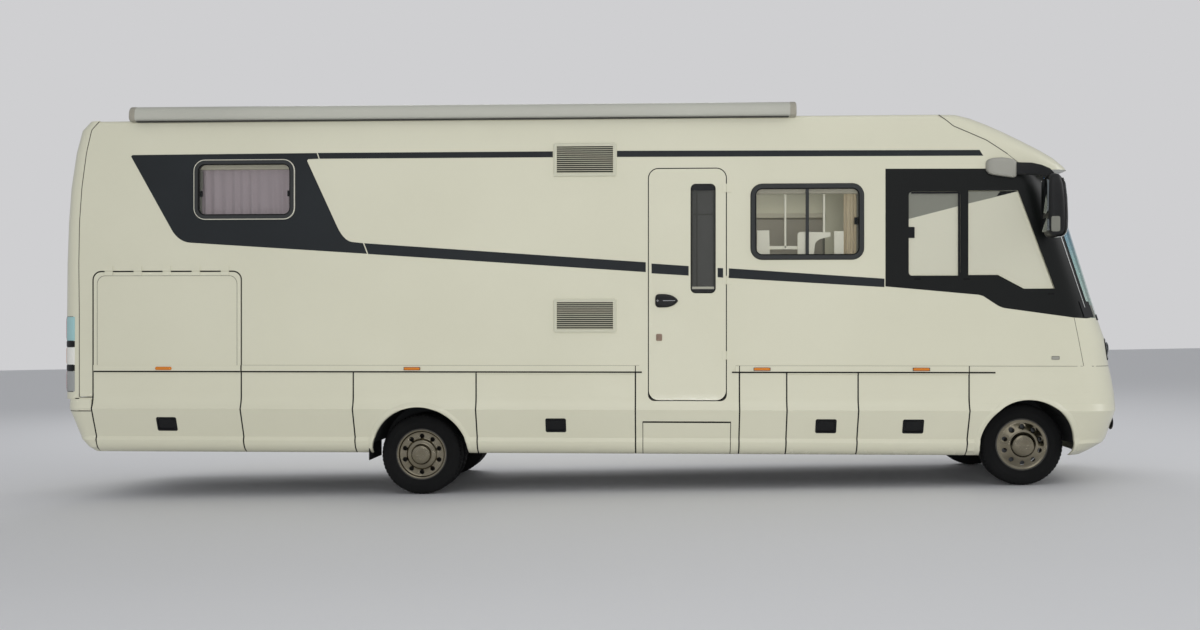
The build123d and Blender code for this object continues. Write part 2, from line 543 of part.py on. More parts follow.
# Entry door and its pane
door = window((DOOR_REAR, DOOR_FRONT), (DOOR_BOTTOM, DOOR_TOP), DOOR_RADIUS, wall_y)
glass_x, glass_z = DOOR_GLASS[:2], DOOR_GLASS[2:]
door -= window(glass_x, glass_z, 40.0, (-1300.0, -1000.0))
DOOR_HINGE_X = DOOR_FRONT + GAP / 2 + 2
DOOR_HINGES = (DOOR_BOTTOM + 376.0, (DOOR_BOTTOM + DOOR_TOP) / 2 + 36.5, DOOR_TOP - 163.0)
DOOR_HINGE_LONG = 70.0
for z in DOOR_HINGES:
    turn = Pos(DOOR_HINGE_X, HINGE_Y - 1.5, z)
    ring_part = turn * (Cylinder(GROOVE, DOOR_HINGE_LONG) - Cylinder(BEAD + BED_GAP, DOOR_HINGE_LONG + 2))
    slot = make_face(Polyline(*[(sx, sy, -DOOR_HINGE_LONG) for sx, sy in sector(3 * GROOVE, -122, 24)], close=True))
    ring_part -= turn * extrude(slot, amount=2 * DOOR_HINGE_LONG, dir=(0, 0, 1))
    door += ring_part + box((DOOR_FRONT - 30, DOOR_HINGE_X - BEAD - 1), (HINGE_Y - 2, -WALL_HALF),
                            (z - DOOR_HINGE_LONG / 2, z + DOOR_HINGE_LONG / 2))
    rod = turn * Cylinder(BEAD, DOOR_HINGE_LONG)
    rod += box((DOOR_HINGE_X + BEAD - 1, DOOR_HINGE_X + 40), (HINGE_Y - 2.5, HINGE_Y - 0.5),
               (z - DOOR_HINGE_LONG / 2, z + DOOR_HINGE_LONG / 2))
    rod += box((DOOR_HINGE_X + GROOVE + 3, DOOR_HINGE_X + 40), (HINGE_Y - 2.5, -WALL_HALF),
               (z - DOOR_HINGE_LONG / 2, z + DOOR_HINGE_LONG / 2))
    right += rod
nodes["entry_door"] = door
nodes["side_wall_right"] = right
nodes["side_wall_left"] = mirrored(left)
nodes["entry_door_glass"] = window((glass_x[0] + BED_GAP, glass_x[1] - BED_GAP),
                                   (glass_z[0] + BED_GAP, glass_z[1] - BED_GAP), 40.0 - BED_GAP,
                                   (-WALL_HALF + 2, -WALL_HALF + 2 + GLASS))

# Sliding entry step with its cover flap
flap = skirt(STEP_X, STEP_TOP + 300) & box(STEP_X, (-1300.0, -900.0), (0.0, STEP_TOP))
TREAD_Z = (560.0, 600.0)
tread = box((STEP_X[0] + 40, STEP_X[1] - 40), (-WALL_HALF + 44, -760.0), TREAD_Z)
nodes["entry_step"] = flap + tread

# Floor, entrance well, garage lining and locker bins
floor_side = WALL_HALF - WALL
floor = box((GARAGE_FRONT + 30, 3960.0), (-floor_side, floor_side), (FLOOR_TOP - FLOOR, FLOOR_TOP))
WELL_X = (LOCKER_FRONT + 30, ENTRY_FRONT - 30)
WELL_Y = (-WALL_HALF + WALL, -520.0)
WELL_Z = 770.0
floor -= box(WELL_X, WELL_Y, (FLOOR_TOP - FLOOR - 10, FLOOR_TOP + 10))
well = box((WELL_X[0] - 20, WELL_X[1] + 20), (WELL_Y[0], WELL_Y[1] + 20), (WELL_Z, FLOOR_TOP - FLOOR))
well -= box(WELL_X, (WELL_Y[0] - 10, WELL_Y[1]), (WELL_Z + 40, FLOOR_TOP))
floor += well
# Runners under the entrance well carry the sliding step
RUNNER = 6.0
for x in (STEP_X[0] + 40 - BED_GAP - RUNNER, STEP_X[1] - 40 + BED_GAP):
    floor += box((x, x + RUNNER), (-1065.0, -700.0), (TREAD_Z[0] - 10, WELL_Z))
nodes["floor_panel"] = floor

GARAGE_FLOOR = (520.0, 550.0)
LINING_X = (GARAGE_REAR + 20, GARAGE_FRONT + 30)
lining_y = (-1045.0, 1045.0)
lining = box(LINING_X, lining_y, GARAGE_FLOOR)
lining += box((LINING_X[1] - 25, LINING_X[1]), lining_y, (GARAGE_FLOOR[0], 1960.0))
lining += box((-4380.0, LINING_X[1]), (-1107.0, 1107.0), (1935.0, 1960.0))
BIN_WALL = 10.0
BIN_Y = (-1045.0, -560.0)
BIN_Z = (520.0, FLOOR_TOP - FLOOR)
bins = [lining]
BINS = [(ARCH_PANEL_FRONT, LOCKER_FRONT, -1), (LOCKER_B_REAR, LOCKER_B_FRONT, -1),
        (LOCKER_B_FRONT, WING_REAR, -1), (ARCH_PANEL_FRONT, LOCKER_FRONT, 1)]
for x0, x1, side in BINS:
    outer = box((x0 + 20, x1 - 20), BIN_Y, BIN_Z)
    outer -= box((x0 + 20 + BIN_WALL, x1 - 20 - BIN_WALL), (BIN_Y[0] - 5, BIN_Y[1] - BIN_WALL), (BIN_Z[0] + BIN_WALL, BIN_Z[1] + 5))
    bins.append(on_side(outer, side))
nodes["storage_linings"] = Compound(children=bins)

# Wheel housings
HOUSE = 5.0


def housing(x, z, radius, y, keep):
    shell = drum(x, y, z, radius + HOUSE) - drum(x, (y[0] - 1, y[1] - HOUSE), z, radius)
    shell &= box((x - radius - 50, x + radius + 50), y, (z + keep, FLOOR_TOP - FLOOR))
    return shell + box((x - 25, x + 25), (-800.0, -770.0), (z + radius + HOUSE / 2, FLOOR_TOP - FLOOR))


FRONT_HOUSE = 405.0
REAR_HOUSE = 420.0
front_house = housing(FRONT_AXLE_X, FRONT_AXLE_Z, FRONT_HOUSE, (-1045.0, -500.0), 20.0)
front_house -= box((FRONT_AXLE_X - 200, FRONT_AXLE_X + 200), (-520.0, -490.0), (0.0, 640.0))
rear_house = housing(REAR_AXLE_X, REAR_AXLE_Z, REAR_HOUSE, (-1045.0, -510.0), 100.0)
nodes["wheel_housings"] = Compound(children=[front_house, rear_house, mirrored(front_house), mirrored(rear_house)])

# Chassis frame: two channel rails, cross-members and a lowered rear extension
RAIL_Y = 430.0
RAIL_HIGH = 180.0
RAIL_DEEP = 70.0
RAIL_THICK = 7.0
RAIL_TOP = 740.0
LOW_TOP = GARAGE_FLOOR[0]


def channel(x0, x1, top, high=RAIL_HIGH):
    rail_box = box((x0, x1), (-RAIL_Y, -RAIL_Y + RAIL_DEEP), (top - high, top))
    return rail_box - box((x0 - 1, x1 + 1), (-RAIL_Y + RAIL_THICK, -RAIL_Y + RAIL_DEEP + 1),
                          (top - high + RAIL_THICK, top - RAIL_THICK))


LOW_HIGH = 130.0
MAIN_REAR = -2350.0
MAIN_FRONT = 4150.0
SPLICE = 100.0              # gusset plates join the lowered extension to the main rails
main_rail = channel(MAIN_REAR, MAIN_FRONT, RAIL_TOP)
main_rail += box((MAIN_REAR - SPLICE, MAIN_REAR + SPLICE), (-RAIL_Y - RAIL_THICK, -RAIL_Y), (LOW_TOP - LOW_HIGH, RAIL_TOP))
nodes["chassis_rails"] = Compound(children=[main_rail, mirrored(main_rail)])
cross_members = []
for x, top in ((-4250.0, LOW_TOP), (-3300.0, LOW_TOP), (-2420.0, LOW_TOP), (-300.0, RAIL_TOP),
               (900.0, RAIL_TOP), (4100.0, RAIL_TOP)):
    cross_members.append(box((x - 30, x + 30), (-RAIL_Y + RAIL_THICK, RAIL_Y - RAIL_THICK), (top - 100, top - 20)))
nodes["cross_members"] = Compound(children=cross_members)
# Outriggers carry the body floor above the rails
posts = []
for x in (-2600.0, -2320.0, -850.0, 300.0, 1300.0, 2200.0, 3120.0):
    post_foot = LOW_TOP if x < MAIN_REAR else RAIL_TOP
    post = box((x - 25, x + 25), (-RAIL_Y, -RAIL_Y + RAIL_DEEP), (post_foot, FLOOR_TOP - FLOOR))
    posts += [post, mirrored(post)]
nodes["outriggers"] = Compound(children=posts)
# Bolt holes for a tow bar in the rear extension's lower flanges
TOW_HOLE = 8.5
TOW_HOLE_X = (-4180.0, -4060.0)
TOW_HOLE_Y = -395.0
extension = channel(CHASSIS_REAR, MAIN_REAR, LOW_TOP, LOW_HIGH)
for x in TOW_HOLE_X:
    extension -= Pos(x, TOW_HOLE_Y, LOW_TOP - LOW_HIGH) * Cylinder(TOW_HOLE, 40.0)
nodes["rear_frame"] = Compound(children=[extension, mirrored(extension)])

# Rear axle with its shaft, on two leaf springs
AXLE_TUBE = 48.0
AXLE_END = 870.0
axle = drum(REAR_AXLE_X, (-AXLE_END, AXLE_END), REAR_AXLE_Z, AXLE_TUBE)
axle += Pos(REAR_AXLE_X, 0, REAR_AXLE_Z) * Sphere(150.0)
SHAFT_END = 1100.0
shaft_tilt = degrees(atan((620.0 - REAR_AXLE_Z) / (SHAFT_END - REAR_AXLE_X)))
shaft_long = sqrt((SHAFT_END - REAR_AXLE_X) ** 2 + (620.0 - REAR_AXLE_Z) ** 2) - 5.0
shaft = Pos(REAR_AXLE_X, 0, REAR_AXLE_Z) * Rot(0, 90 - shaft_tilt, 0) * Pos(0, 0, shaft_long / 2) * Cylinder(38.0, shaft_long)
nodes["rear_axle"] = axle + shaft

SPRING_HALF = 620.0
SPRING_DROP = 130.0
SPRING_THICK = 45.0
SPRING_Y = (-500.0, -430.0)
spring_base = REAR_AXLE_Z + AXLE_TUBE
eye_z = spring_base + SPRING_DROP


def spring_arc(lift):
    return [(REAR_AXLE_X - SPRING_HALF, eye_z + lift), (REAR_AXLE_X, spring_base + lift),
            (REAR_AXLE_X + SPRING_HALF, eye_z + lift)]


lower, upper = spring_arc(0), spring_arc(SPRING_THICK)


def xz(points, y):
    return [(px, y, pz) for px, pz in points]


spring_face = make_face([ThreePointArc(*xz(lower, SPRING_Y[0])), Line(*xz([lower[2], upper[2]], SPRING_Y[0])),
                         ThreePointArc(*xz(upper[::-1], SPRING_Y[0])), Line(*xz([upper[0], lower[0]], SPRING_Y[0]))])
spring = extrude(spring_face, amount=SPRING_Y[1] - SPRING_Y[0], dir=(0, 1, 0))
for end in (-1, 1):
    ex = REAR_AXLE_X + end * SPRING_HALF
    spring += drum(ex, SPRING_Y, eye_z + SPRING_THICK / 2, 32.0)
    spring += box((ex - 20, ex + 20), SPRING_Y, (eye_z + 20, RAIL_TOP - 20))
nodes["leaf_springs"] = Compound(children=[spring, mirrored(spring)])

# Engine and gearbox as one plain block, exhaust and fuel tank
nodes["engine_block"] = box((3000.0, 4050.0), (-300.0, 300.0), (560.0, 1030.0)) + box((SHAFT_END, 3000.0), (-170.0, 170.0), (520.0, 720.0))
PIPE = 38.0
silencer = Pos(-300.0, 240.0, 500.0) * Rot(0, 90, 0) * Cylinder(105.0, 700.0)
pipe = Pos(1400.0, 240.0, 500.0) * Rot(0, 90, 0) * Cylinder(PIPE, 2800.0)
nodes["exhaust"] = silencer + pipe + box((600.0, 640.0), (200.0, 400.0), (480.0, RAIL_TOP - RAIL_HIGH))
tank = box((900.0, 2050.0), (RAIL_Y + 8, 900.0), (430.0, 730.0))
tank = fillet(tank.edges().filter_by(Axis.X), 40.0)
nodes["fuel_tank"] = tank + box((1000.0, 1060.0), (RAIL_Y, RAIL_Y + 60), (600.0, 700.0))

# Front suspension and steered knuckles
ARM_LOW = FRONT_AXLE_Z - 130.0
ARM_HIGH = FRONT_AXLE_Z + 140.0
PIN = 16.0
subframe = box((FRONT_AXLE_X - 130, FRONT_AXLE_X + 130), (-420.0, 420.0), (ARM_LOW - 40, ARM_LOW + 60))
for side in (-1, 1):
    tower = box((FRONT_AXLE_X - 90, FRONT_AXLE_X + 90), (-RAIL_Y, -360.0), (ARM_LOW, RAIL_TOP - RAIL_HIGH))
    tower += box((FRONT_AXLE_X - 90, FRONT_AXLE_X + 90), (-RAIL_Y - 45, -RAIL_Y), (ARM_LOW, ARM_HIGH + 15))
    arm = Polyline((FRONT_AXLE_X - 170, -RAIL_Y), (FRONT_AXLE_X - 40, -KINGPIN_Y - 35), (FRONT_AXLE_X + 40, -KINGPIN_Y - 35),
                   (FRONT_AXLE_X + 170, -RAIL_Y), close=True)
    low = Pos(0, 0, ARM_LOW - 20) * extrude(make_face(arm), amount=40, dir=(0, 0, 1))
    high = Pos(0, 0, ARM_HIGH - 15) * extrude(make_face(arm), amount=30, dir=(0, 0, 1))
    piece = tower + low + high
    piece -= Pos(FRONT_AXLE_X, -KINGPIN_Y, FRONT_AXLE_Z) * Cylinder(PIN + BED_GAP, 400.0)
    subframe += on_side(piece, side)
nodes["front_suspension"] = subframe

front_wheel_y = FRONT_TRACK / 2
HUB_FACE = 62.0
SPINDLE = 22.0
SPINDLE_END = 118.0         # beyond the middle of the tyre
knuckle = Pos(FRONT_AXLE_X, -KINGPIN_Y, FRONT_AXLE_Z) * Cylinder(PIN, ARM_HIGH - ARM_LOW + 50)
knuckle += box((FRONT_AXLE_X - 35, FRONT_AXLE_X + 35), (-KINGPIN_Y - 32, -KINGPIN_Y + 32), (ARM_LOW + 26, ARM_HIGH - 21))
knuckle += drum(FRONT_AXLE_X, (-KINGPIN_Y - HUB_FACE, -KINGPIN_Y), FRONT_AXLE_Z, 45.0)
knuckle += drum(FRONT_AXLE_X, (-FRONT_TRACK / 2 - SPINDLE_END, -KINGPIN_Y), FRONT_AXLE_Z, SPINDLE)
nodes["front_knuckle_right"] = knuckle
nodes["front_knuckle_left"] = mirrored(knuckle)

# Wheels: tyres and rims as turned sections, drawn about the Y axis
SHOULDER = 22.0
tyre_half = TYRE_WIDTH / 2
TYRE_POINTS = [(BEAD_RADIUS, -69.5), (BEAD_RADIUS + 21, -69.5), (BEAD_RADIUS + 37, -84.0), (TYRE_RADIUS - 75, -tyre_half), (TYRE_RADIUS - 40, -tyre_half + 4),
               (TYRE_RADIUS - 8, -tyre_half + SHOULDER), (TYRE_RADIUS, -tyre_half + 45)]


def turned(points):
    """Section of (radius, y) points turned about the Y axis."""
    face = make_face(Polyline(*[(r, y, 0) for r, y in points], close=True))
    return revolve(face, axis=Axis.Y, revolution_arc=360)


def tyre(y):
    mirrored_points = [(r, -py) for r, py in TYRE_POINTS[::-1]]
    return Pos(0, y, 0) * turned(TYRE_POINTS + mirrored_points)


# Rim sections as (radius, y), y = 0 in the middle of the tyre and negative outwards
BARREL = [(BEAD_RADIUS, -69.8), (216.0, -72.0), (220.0, -82.0), (212.0, -84.0), (196.0, -66.0), (180.0, 0.0),
          (196.0, 66.0), (212.0, 84.0), (220.0, 82.0), (216.0, 72.0), (BEAD_RADIUS, 69.8), (190.0, 0.0)]
HOLE_CIRCLE = 155.0
HOLE = 20.0


def rim(cover, hub, axle_hole, holes_y):
    """A barrel and a covered disc with its ring of round holes."""
    body = turned(BARREL) + turned(cover) + drum(0, hub[1:], 0, hub[0])
    for i in range(HOLE_COUNT):
        turn = 360 * (i + 0.5) / HOLE_COUNT
        body -= Rot(0, turn, 0) * drum(HOLE_CIRCLE, holes_y, 0, HOLE)
    return body - drum(0, (axle_hole[1], 400), 0, axle_hole[0])


FRONT_COVER = [(0.0, -150.0), (60.0, -150.0), (78.0, -142.0), (82.0, -112.0), (120.0, -108.0), (190.0, -72.0),
               (214.0, -80.0), (214.0, -71.0), (201.0, -71.0), (192.0, -60.0), (120.0, -98.0), (82.0, -100.0), (70.0, -70.0), (0.0, -70.0)]
REAR_COVER = [(0.0, -120.0), (60.0, -120.0), (78.0, -112.0), (80.0, -80.0), (118.0, -76.0), (134.0, -56.0), (192.0, -56.0),
              (198.0, -78.0), (214.0, -80.0), (214.0, -71.0), (202.0, -71.0), (197.0, -46.0), (110.0, -46.0), (80.0, -60.0), (0.0, -60.0)]
front_tyre = tyre(0)
front_rim = rim(FRONT_COVER, (60.0, -75.0, 40.0), (SPINDLE + BED_GAP, -SPINDLE_END - 2), (-160.0, -60.0))
rear_y = REAR_TRACK / 2
twin = TWIN_PITCH / 2
rear_tyres = Compound(children=[tyre(-twin), tyre(twin)])
rear_bore = (AXLE_TUBE + BED_GAP, REAR_TRACK / 2 + twin - AXLE_END - 2)
rear_rim = Pos(0, -twin, 0) * rim(REAR_COVER, (95.0, -62.0, 2 * twin), (rear_bore[0], rear_bore[1]), (-100.0, -40.0))
rear_rim += Pos(0, twin, 0) * turned(BARREL)
rear_rim += drum(0, (twin - 30, twin - 14), 0, 186.0) - drum(0, (-twin, twin), 0, 94.0)
for side, word in ((-1, "right"), (1, "left")):
    place = Pos(FRONT_AXLE_X, -front_wheel_y, FRONT_AXLE_Z)
    nodes["front_tyre_" + word] = on_side(place * front_tyre, side)
    nodes["front_rim_" + word] = on_side(place * front_rim, side)
    place = Pos(REAR_AXLE_X, -rear_y, REAR_AXLE_Z)
    nodes["rear_tyres_" + word] = on_side(place * rear_tyres, side)
    nodes["rear_rim_" + word] = on_side(place * rear_rim, side)

# Mirrors: a pod on the side below the roof cap, an arm reaching forward and out, and a hanging head
pod = box((3280.0, 3535.0), (-1205.0, -WALL_HALF), (2680.0, 2826.0))
pod = fillet(pod.edges().filter_by(Axis.Z).group_by(Axis.Y)[0], 45.0)
pod = fillet(pod.edges().group_by(Axis.Y)[0], 20.0)
# Arm sections: x, y, z of the middle, height, width
ARM_ROWS = [(3500.0, -1170.0, 2752.0, 120.0, 60.0), (3600.0, -1220.0, 2745.0, 105.0, 70.0),
            (3700.0, -1290.0, 2722.0, 90.0, 80.0), (3785.0, -1335.0, 2672.0, 80.0, 90.0)]
arm = loft([Plane((x, y, z), x_dir=(0.5, 0.85, 0), z_dir=(0.85, -0.5, 0)) * RectangleRounded(wide, high, 20.0)
            for x, y, z, high, wide in ARM_ROWS], ruled=True)
head = box((3705.0, 3850.0), (-1440.0, -1225.0), (2175.0, 2672.0))
head = fillet(head.edges().filter_by(Axis.Y), 55.0)
head = fillet(head.edges().group_by(Axis.Y)[0], 18.0)
mirror_right = pod + arm + head
nodes["mirrors"] = Compound(children=[mirror_right, mirrored(mirror_right)])

# Lamps along the side and at the rear corners
MARKER_X = (-3656.0, -1514.0, 1433.0, 2748.0)
MARKER = (70.0, 12.0, 13.0)
lamps = list(tail.solids())
for x in MARKER_X[1:]:
    lamp = box((x - MARKER[0], x + MARKER[0]), (-WALL_HALF - RAIL_PROUD - MARKER[1], -WALL_HALF - RAIL_PROUD),
               (1085.0 - MARKER[2], 1085.0 + MARKER[2]))
    lamps += [lamp, mirrored(lamp)]
nodes["tail_and_marker_lamps"] = Compound(children=lamps)

# Cab interior seen through the glass
dash = slab([(3700.0, FLOOR_TOP), (3950.0, FLOOR_TOP), (4150.0, 1300.0), (4110.0, 1480.0), (3800.0, 1520.0), (3700.0, 1400.0)],
            (-1040.0, 1040.0))
wheel_rim = Pos(3560.0, 480.0, 1560.0) * Rot(0, -55, 0) * Torus(200.0, 16.0)
spokes = Pos(3560.0, 480.0, 1560.0) * Rot(0, -55, 0) * (Box(40.0, 400.0, 14.0) + Pos(0, 0, -100) * Cylinder(28.0, 220.0))
column = Pos(3560.0, 480.0, 1560.0) * Rot(0, -55, 0) * Pos(0, 0, -150) * Cylinder(28.0, 300.0)
nodes["dashboard"] = dash + wheel_rim + spokes + column

seats = []
for y in (-520.0, 520.0):
    seat = box((2760.0, 3300.0), (y - 250, y + 250), (1400.0, 1540.0))
    seat += slab([(2760.0, 1540.0), (2900.0, 1540.0), (2760.0, 2250.0), (2640.0, 2250.0)], (y - 240, y + 240))
    seat += box((2850.0, 3200.0), (y - 180, y + 180), (FLOOR_TOP, 1400.0))
    seats.append(seat)
nodes["cab_seats"] = Compound(children=seats)

furniture = [box((1300.0, 1340.0), (-1107.0, -560.0), (FLOOR_TOP, 1900.0)),
             box((1380.0, 2330.0), (-1100.0, -600.0), (FLOOR_TOP, 1540.0)),
             box((-2900.0, -1800.0), (300.0, 1107.0), (FLOOR_TOP, 2100.0)),
             box((-600.0, 350.0), (-1107.0, -520.0), (FLOOR_TOP, 1380.0)),
             box((-4350.0, -2960.0), (-1090.0, 1090.0), (1960.0, 2120.0))]
nodes["interior_furniture"] = Compound(children=furniture)

# The body parks nose-down: one turn about the rear axle, then the whole is centred over its footprint
CENTRE_SHIFT = 3.2
pivot = Axis((REAR_AXLE_X, 0, REAR_AXLE_Z), (0, 1, 0))
for name, shape in nodes.items():
    parked = Pos(CENTRE_SHIFT, 0, 0) * shape.rotate(pivot, RAKE)
    export_step(parked, f"parts/{name}.step")
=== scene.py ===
import json
import math

import bmesh
import bpy
import numpy as np
from mathutils import Matrix
from mathutils.geometry import delaunay_2d_cdt


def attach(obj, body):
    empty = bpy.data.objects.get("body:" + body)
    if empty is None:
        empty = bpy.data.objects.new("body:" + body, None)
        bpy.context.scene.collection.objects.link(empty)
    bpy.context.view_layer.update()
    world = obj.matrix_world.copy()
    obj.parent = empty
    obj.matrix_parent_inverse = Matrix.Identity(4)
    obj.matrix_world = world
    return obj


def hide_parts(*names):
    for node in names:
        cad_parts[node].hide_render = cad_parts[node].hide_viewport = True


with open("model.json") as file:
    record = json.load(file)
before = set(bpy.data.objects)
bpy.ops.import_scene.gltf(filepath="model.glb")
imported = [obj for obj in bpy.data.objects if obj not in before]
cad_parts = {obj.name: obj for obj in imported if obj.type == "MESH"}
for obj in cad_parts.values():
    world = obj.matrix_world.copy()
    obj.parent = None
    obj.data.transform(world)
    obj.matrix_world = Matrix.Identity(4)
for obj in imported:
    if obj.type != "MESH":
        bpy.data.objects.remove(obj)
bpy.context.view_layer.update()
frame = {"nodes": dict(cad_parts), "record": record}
nodes = frame["nodes"]

# Parked stance
# The coach body is drawn level, in millimetres: x forward from the middle, y to the left, z up.
# It stands nose-down on its wheels, turned about the rear axle by the lean of the entry door's post.
joints = {joint["name"]: joint for joint in frame["record"]["behaviour"]["joints"]}
post = joints["entry_door_swing"]["axis"]
LEAN = math.atan2(post[0], post[2])
WHEELBASE = 5100.0
REAR_AXLE = np.array([-1466.0, 0.0, 345.0])
FRONT_AXLE = np.array([REAR_AXLE[0] + WHEELBASE, 0.0, 445.0])
axle_spot = np.array(joints["rear_wheels_right_spin"]["pos_m"]) * (1, 0, 1)
TURN = np.array([[math.cos(LEAN), 0, math.sin(LEAN)], [0, 1, 0], [-math.sin(LEAN), 0, math.cos(LEAN)]])


def parked(points):
    """Level millimetres to metres in the frame: the rear axle plus the turned distance from it."""
    return (np.asarray(points, float) - REAR_AXLE) / 1000 @ TURN.T + axle_spot


# Viewpoint of the photograph
# A phone camera stood beside the entry door, at 1.4 m above the road and 10.5 m from the side wall,
# square-on but for a few degrees. The body's own lines lie level in the picture.
PHOTO_WIDTH = 1200
PHOTO_MIDDLE = 315
HORIZON = 335
FOCAL_PIXELS = 1248.5
CAMERA_PLACE = (582.0, -11629.0, 1370.0)
VIEW_TURN = math.radians(2.75)
forward = np.array([-math.sin(VIEW_TURN), math.cos(VIEW_TURN), 0.0])
rightward = np.array([math.cos(VIEW_TURN), math.sin(VIEW_TURN), 0.0])
axes = TURN @ np.column_stack([rightward, (0, 0, 1), -forward])
lens = bpy.data.cameras.new("camera")
lens.sensor_width = 36.0
lens.lens = 36.0 * FOCAL_PIXELS / PHOTO_WIDTH
lens.shift_y = (HORIZON - PHOTO_MIDDLE) / PHOTO_WIDTH
camera = bpy.data.objects.new("camera", lens)
bpy.context.scene.collection.objects.link(camera)
camera.matrix_world = Matrix.Translation(parked(CAMERA_PLACE)) @ Matrix(axes.tolist()).to_4x4()
bpy.context.scene.camera = camera
bpy.context.scene.view_settings.view_transform = "Standard"


# Studio floor, sky and lamps
# A plain pale painted floor without an edge in view, a pale sky and broad soft lamps on both sides.
def hue(code):
    """An sRGB hex value as linear light, by the sRGB curve."""
    parts = [int(code[i:i + 2], 16) / 255 for i in (1, 3, 5)]
    return tuple(c / 12.92 if c <= 0.04045 else ((c + 0.055) / 1.055) ** 2.4 for c in parts) + (1.0,)


def add(tree, kind, settings=None, inputs=None):
    """Adds a node with its settings; an input is a value, or a (node, output) pair to link from."""
    node = tree.nodes.new(kind)
    for name, value in (settings or {}).items():
        setattr(node, name, value)
    for name, value in (inputs or {}).items():
        if isinstance(value, tuple) and isinstance(value[0], bpy.types.Node):
            tree.links.new(value[0].outputs[value[1]], node.inputs[name])
        else:
            node.inputs[name].default_value = value
    return node


slot_of = {}


def blank(name, slot=None):
    """A new material with an empty node tree, noted with the record's slot for its pieces."""
    material = bpy.data.materials.new(name)
    material.use_nodes = True
    material.node_tree.nodes.clear()
    slot_of[name] = slot
    return material, material.node_tree


def finish(name, slot, colour, sockets=None, patch=(2.0, 2.0), dull=None, relief=None):
    """A surface read at Object coordinates. Two colours are mixed by soft patches of the given scale and
    detail, which can also move the roughness between two values. The relief is a bump: its texture, the
    texture's inputs, its strength and its depth in metres."""
    material, tree = blank(name, slot)
    sockets = {**(sockets or {}), "Base Color": colour}
    if dull or relief or isinstance(colour, tuple):
        spot = add(tree, "ShaderNodeTexCoord")
    if dull or isinstance(colour, tuple):
        cloud = add(tree, "ShaderNodeTexNoise",
                    inputs={"Vector": (spot, "Object"), "Scale": patch[0], "Detail": patch[1]})
    if isinstance(colour, tuple):
        tone = add(tree, "ShaderNodeMix", {"data_type": "RGBA"},
                   {0: (cloud, 0), 6: hue(colour[0]), 7: hue(colour[1])})
        sockets["Base Color"] = (tone, 2)
    else:
        sockets["Base Color"] = hue(colour)
    if dull:
        rough = add(tree, "ShaderNodeMapRange",
                    inputs={"Value": (cloud, 0), "To Min": dull[0], "To Max": dull[1]})
        sockets["Roughness"] = (rough, 0)
    if relief:
        kind, settings, inputs, strength, depth = relief
        grain = add(tree, kind, settings, {"Vector": (spot, "Object"), **inputs})
        height = (grain, 1 if settings else 0)
        bump = add(tree, "ShaderNodeBump", inputs={"Height": height, "Strength": strength, "Distance": depth})
        sockets["Normal"] = (bump, 0)
    shader = add(tree, "ShaderNodeBsdfPrincipled", inputs=sockets)
    add(tree, "ShaderNodeOutputMaterial", inputs={"Surface": (shader, 0)})
    return material


floor_paint = finish("painted_floor", None, "#E2E2E4", {"Roughness": 0.7})
FLOOR_HALF = 60.0
plane = bpy.data.meshes.new("floor")
plane.from_pydata([(-FLOOR_HALF, -FLOOR_HALF, 0), (FLOOR_HALF, -FLOOR_HALF, 0),
                   (FLOOR_HALF, FLOOR_HALF, 0), (-FLOOR_HALF, FLOOR_HALF, 0)], [], [(0, 1, 2, 3)])
plane.materials.append(floor_paint)
floor = bpy.data.objects.new("floor", plane)
bpy.context.scene.collection.objects.link(floor)

world = bpy.data.worlds.new("sky")
world.use_nodes = True
world.node_tree.nodes.clear()
tree = world.node_tree
ray = add(tree, "ShaderNodeLightPath")
lit = add(tree, "ShaderNodeBackground", inputs={"Color": hue("#E9EBEE"), "Strength": 0.56})
seen = add(tree, "ShaderNodeBackground", inputs={"Color": hue("#CFCFD1"), "Strength": 1.0})
both = add(tree, "ShaderNodeMixShader", inputs={0: (ray, "Is Camera Ray"), 1: (lit, 0), 2: (seen, 0)})
add(tree, "ShaderNodeOutputWorld", inputs={"Surface": (both, 0)})
bpy.context.scene.world = world

# Lamp: place, what it points at, side length, watts, and whether it shows in reflections
LAMPS = [((1.0, -11.0, 9.0), (0.0, 0.0, 1.2), 9.0, 110.0, True),
         ((-2.0, 11.0, 9.0), (0.0, 0.0, 1.2), 9.0, 480.0, True),
         ((12.0, -3.0, 7.0), (3.0, 0.0, 1.5), 6.0, 220.0, True),
         ((1.0, -17.0, 1.3), (0.0, 0.0, 0.9), 2.4, 1030.0, False)]
for number, (place, target, size, watts, shows) in enumerate(LAMPS):
    light = bpy.data.lights.new(f"lamp_{number}", "AREA")
    light.shape = "SQUARE"
    light.size = size
    light.energy = watts
    lamp = bpy.data.objects.new(f"lamp_{number}", light)
    aim = (Matrix.Translation(target).translation - Matrix.Translation(place).translation)
    lamp.matrix_world = Matrix.Translation(place) @ aim.to_track_quat("-Z", "Y").to_matrix().to_4x4()
    lamp.visible_glossy = shows
    bpy.context.scene.collection.objects.link(lamp)


